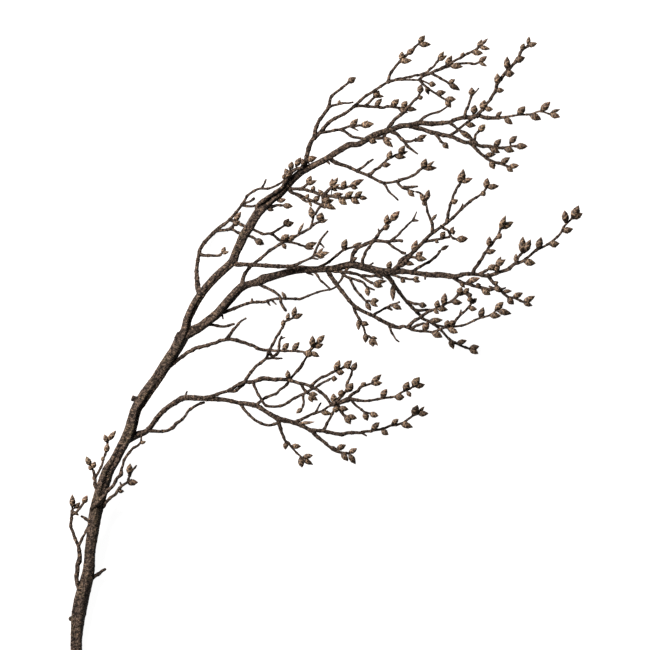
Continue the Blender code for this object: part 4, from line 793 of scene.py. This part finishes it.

# %% [markdown]
# The bark's colour follows its age. Twigs of this year are a warm red-brown with a dull
# shine. Older wood turns grey-brown and matt, with a little green and pale lichen dust in
# places. Pale and dark flecks roughen both. The furrows get painted shade, ring scars are
# darker, and the lenticels are tan.

# %% Bark
def bark_finish():
    bark = Finish("branch bark")
    patch = bark.grain(230.0, 4.6)
    old = bark.ramp(patch, ((0.0, (0.003, 0.002, 0.0015)), (0.35, (0.007, 0.0048, 0.0037)),
                            (0.65, (0.026, 0.0192, 0.0152)), (1.0, (0.064, 0.05, 0.04))))
    new = bark.ramp(patch, ((0.0, (0.004, 0.0022, 0.0016)), (0.5, (0.018, 0.0102, 0.0072)),
                            (1.0, (0.054, 0.033, 0.0225))))
    age = bark.math("MULTIPLY_ADD", bark.mark("girth"), 0.36, -0.36)
    moss = bark.ramp(bark.grain(38.0, 5.0), ((0.0, 0.0), (0.74, 0.0), (0.95, 0.5)))
    wood = bark.coats(bark.mix(age, new, old), (
        (moss, age, (0.055, 0.052, 0.022)),
        # Painted shade in the furrows.
        (bark.mark("furrow_painted_shade"), 0.8, (0.012, 0.008, 0.006)),
        (bark.mark("scar"), 0.5, (0.016, 0.01, 0.008)),
        (bark.grain(330.0, 7.0), 0.5, (0.19, 0.148, 0.115)),
        (bark.grain(470.0, 9.0), 0.85, (0.004, 0.0028, 0.002)),
        (bark.mark("lenticel"), 0.85, (0.26, 0.19, 0.13))))
    dull = bark.ramp(patch, ((0.0, 0.52), (1.0, 0.78)))
    bark.set(Base_Color=wood, Roughness=dull, Specular_IOR_Level=0.15)
    bark.bump(bark.grain(620.0, 3.2), 0.0009, 1.0)
    return bark.material


BARK = bark_finish()
print("material:", BARK.name)

# %% [markdown]
# A bud is darkest at its base. Each scale gets painted shade where it comes out from under
# the edge of the scale outside it, fading to none at its own edge, which ends in a thin dry
# rim of light tan. Buds on one branch don't ripen alike, so some are redder, some are
# greener, and some are tan all over. Some are also darker as a whole.

# %% Bud scales
def bud_finish():
    bud = Finish("bud scales")
    along = bud.mark("share")
    brown = bud.ramp(along, ((0.0, (0.006, 0.0037, 0.0027)), (0.3, (0.019, 0.0115, 0.0075)),
                             (0.7, (0.038, 0.0235, 0.0138)), (1.0, (0.1, 0.063, 0.037))))
    red = bud.ramp(along, ((0.0, (0.006, 0.0032, 0.0027)), (0.4, (0.026, 0.0105, 0.0078)),
                           (1.0, (0.105, 0.048, 0.033))))
    olive = bud.ramp(along, ((0.0, (0.008, 0.0055, 0.0032)), (0.45, (0.032, 0.026, 0.012)),
                             (1.0, (0.12, 0.102, 0.044))))
    tan = bud.ramp(along, ((0.0, (0.012, 0.008, 0.0054)), (0.5, (0.046, 0.03, 0.0185)),
                           (1.0, (0.175, 0.124, 0.076))))
    colour = bud.coats(brown, (
        (bud.mark("red"), 1.0, red),
        (bud.mark("olive"), 1.0, olive),
        (bud.mark("tan"), 1.0, tan),
        # Painted shade in the creases between overlapping scales.
        (bud.mark("shade"), 0.85, (0.007, 0.0042, 0.003)),
        (bud.grain(520.0, 6.0), 0.28, (0.155, 0.108, 0.068)),
        (bud.grain(640.0, 8.0), 0.6, (0.006, 0.004, 0.003)),
        (bud.mark("rim"), 0.85, (0.43, 0.315, 0.2)),
        (bud.mark("dusk"), 1.0, (0.007, 0.005, 0.004))))
    gloss = bud.ramp(bud.grain(700.0, 2.0), ((0.0, 0.38), (1.0, 0.62)))
    bud.set(Base_Color=colour, Roughness=gloss, Specular_IOR_Level=0.25)
    bud.bump(bud.grain(900.0, 3.0), 0.0003, 0.6)
    return bud.material


BUD_SCALES = bud_finish()
print("material:", BUD_SCALES.name)

# %% [markdown]
# The stem was cut with secateurs, plainly across. The cut shows pale wood with fine year
# rings round a small dark pith, inside a thin dark line of bark. It is a shallow disc of its
# own, just proud of the stem's end, and it stands for the stem's solid together with the wood.

# %% The cut end
CUT_RINGS, CUT_SIDES = 22, 40
CUT_SHARE = 0.86
CUT_LIFT, CUT_SAG, CUT_SINK = 0.5, 0.35, 0.6
RING_DEPTH, RING_PITCH = 0.04, 46


def cut_end(limb, material):
    """The cut as a disc: its middle point, rings of points out to the bark, and a sunk rim."""
    centre, radius = limb[0, :3], limb[0, 3] * CUT_SHARE
    out = limb[0, :3] - limb[1, :3]
    out /= np.linalg.norm(out)
    side = np.cross(out, [0.0, 0.0, 1.0])
    rise = np.cross(side, out)
    turn = np.linspace(0, 2 * np.pi, CUT_SIDES, endpoint=False)[:, None]
    flat = radius * (side * np.cos(turn) + rise * np.sin(turn))
    spots, away, faces = [centre + out * CUT_LIFT], [0.0], []
    for share in np.arange(1, CUT_RINGS + 1) / CUT_RINGS:
        lift = CUT_LIFT - CUT_SAG * share ** 6 + RING_DEPTH * np.sin(share * RING_PITCH + np.sin(turn))
        spots.append(centre + out * lift + flat * share)
        away += [share] * CUT_SIDES
    spots.append(centre - out * CUT_SINK + flat)
    away += [1.0] * CUT_SIDES
    for number in range(CUT_SIDES):
        beside = (number + 1) % CUT_SIDES
        faces.append((0, 1 + number, 1 + beside))
        for inner in range(1, 1 + CUT_RINGS * CUT_SIDES, CUT_SIDES):
            outer = inner + CUT_SIDES
            faces.append((inner + number, outer + number, outer + beside, inner + beside))
    rim = 1 + CUT_RINGS * CUT_SIDES
    faces.append(tuple(reversed(range(rim, rim + CUT_SIDES))))
    return make_piece("cut_end", np.vstack(spots), faces, {"away": away}, material)


def cut_finish():
    cut = Finish("cut wood")
    wood = cut.ramp(cut.mark("away"), (
        (0.0, (0.12, 0.07, 0.04)), (0.09, (0.2, 0.12, 0.07)), (0.13, (0.52, 0.37, 0.22)),
        (0.36, (0.44, 0.29, 0.165)), (0.4, (0.56, 0.41, 0.25)), (0.62, (0.46, 0.31, 0.18)),
        (0.66, (0.6, 0.45, 0.28)), (0.88, (0.5, 0.36, 0.21)), (0.93, (0.42, 0.36, 0.17)),
        (1.0, (0.09, 0.06, 0.04))))
    colour = cut.coats(wood, ((cut.grain(1500.0, 3.0), 0.3, (0.3, 0.2, 0.12)),))
    cut.set(Base_Color=colour, Roughness=0.8)
    cut.bump(cut.grain(2200.0, 2.0), 0.0002, 0.4)
    return cut.material


stem_limb = sprays["main_stem"][0][0]
cut_piece = cut_end(stem_limb, cut_finish())
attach(cut_piece, "root")
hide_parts("main_stem")
print("cut end radius in mm:", round(stem_limb[0, 3], 2))

# %% [markdown]
# Now each spray is made: one mesh for its wood and one for its buds. Both stand for the
# spray's solid, and both ride on the one body, because nothing on a branch has a joint. A
# growth that is narrower than a bud can be is a bare stub.

# %% Dress every spray
STUB_WIDTH = 2.6
for name, (limbs, growths) in sprays.items():
    draw = random.Random(f"{SEED} skin {name}")
    wood, buds = Skin(), Skin()
    for number, limb in enumerate(limbs):
        add_wood(wood, draw, limb, name != "main_stem" or number > 0)
    for base, tip, width, root in growths:
        if width < STUB_WIDTH:
            add_stub(wood, draw, base, tip, width, root)
        else:
            add_bud(buds, draw, base, tip, width, root)
    pieces = [wood.piece(f"{name}_wood", BARK)]
    if buds.count:
        pieces.append(buds.piece(f"{name}_buds", BUD_SCALES))
    for piece in pieces:
        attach(piece, "root")
        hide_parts(name)
    print(f"{name}: {len(limbs)} limbs, {len(growths)} growths, {wood.count + buds.count} vertices")

# %% [markdown]
# The floor is a wide pale sheet. It has light of its own, so that the branch's shadows stay
# as faint as on a sheet of paper in a bright room. Less of that light reaches the branch than
# the camera sees, because the far side of its wood should stay dark.

# %% Floor
FLOOR_SIDE = 9.0
FLOOR_GLOW, FLOOR_FILL = 0.97, 0.4


def floor_sheet():
    bpy.ops.mesh.primitive_grid_add(x_subdivisions=4, y_subdivisions=4, size=FLOOR_SIDE)
    sheet = bpy.context.object
    sheet.name = "floor"
    paper = Finish("pale floor")
    tone = paper.ramp(paper.grain(3.0, 1.0), ((0.0, 0.17), (1.0, 0.19)))
    seen = paper.tree.nodes.new("ShaderNodeLightPath").outputs["Is Camera Ray"]
    glow = paper.math("MULTIPLY_ADD", seen, FLOOR_GLOW - FLOOR_FILL, FLOOR_FILL)
    paper.set(Base_Color=tone, Roughness=0.95, Emission_Color=(1.0,) * 3, Emission_Strength=glow)
    sheet.data.materials.append(paper.material)
    return sheet


floor = floor_sheet()
print("floor side in m:", FLOOR_SIDE)

# %% [markdown]
# The photograph's light comes from the upper left, and the far side of each limb is dark.
# One large soft lamp gives that, with a dim pale world to fill the rest. The plain Standard
# view keeps the paper white and the bark as dark as it is.

# %% Light
KEY_PLACE = (-1.6, 1.1, 1.35)
KEY_POWER, KEY_SIZE = 205.0, 1.0
KEY_COLOUR = (1.0, 0.865, 0.8)
WORLD_STRENGTH = 0.08


def key_lamp():
    lamp = bpy.data.lights.new("key", "AREA")
    lamp.energy, lamp.size, lamp.color = KEY_POWER, KEY_SIZE, KEY_COLOUR
    held = bpy.data.objects.new("key", lamp)
    held.location = KEY_PLACE
    across, back, up = KEY_PLACE
    held.rotation_euler = (math.atan2(math.hypot(across, back), up), 0.0, math.atan2(across, -back))
    bpy.context.scene.collection.objects.link(held)


world = bpy.data.worlds.new("soft room")
world.use_nodes = True
room = world.node_tree.nodes["Background"]
room.inputs["Color"].default_value = (1.0, 1.0, 1.0, 1.0)
room.inputs["Strength"].default_value = WORLD_STRENGTH
bpy.context.scene.world = world
bpy.context.scene.view_settings.view_transform = "Standard"
key_lamp()
print("key lamp at", KEY_PLACE)

# %% [markdown]
# The camera looks straight down through a very long lens, so that the plan's millimetres
# fall on the picture's pixels: 650 mm of plan fill 650 pixels.

# %% Camera
LENS, SENSOR = 1200.0, 36.0
PICTURE_SIDE = 650.0
PLAN_CENTRE = (324.9, 324.6)
FOCUS_HEIGHT = 0.03


def overhead_camera():
    camera = bpy.data.objects.new("camera", bpy.data.cameras.new("camera"))
    camera.data.lens, camera.data.sensor_width, camera.data.clip_start = LENS, SENSOR, 1.0
    middle = on_plan(*PLAN_CENTRE) * MM
    camera.location = (middle[0], middle[1], FOCUS_HEIGHT + PICTURE_SIDE * MM * LENS / SENSOR)
    bpy.context.scene.collection.objects.link(camera)
    bpy.context.scene.camera = camera
    return camera


print("camera height in m:", round(overhead_camera().location.z, 3))
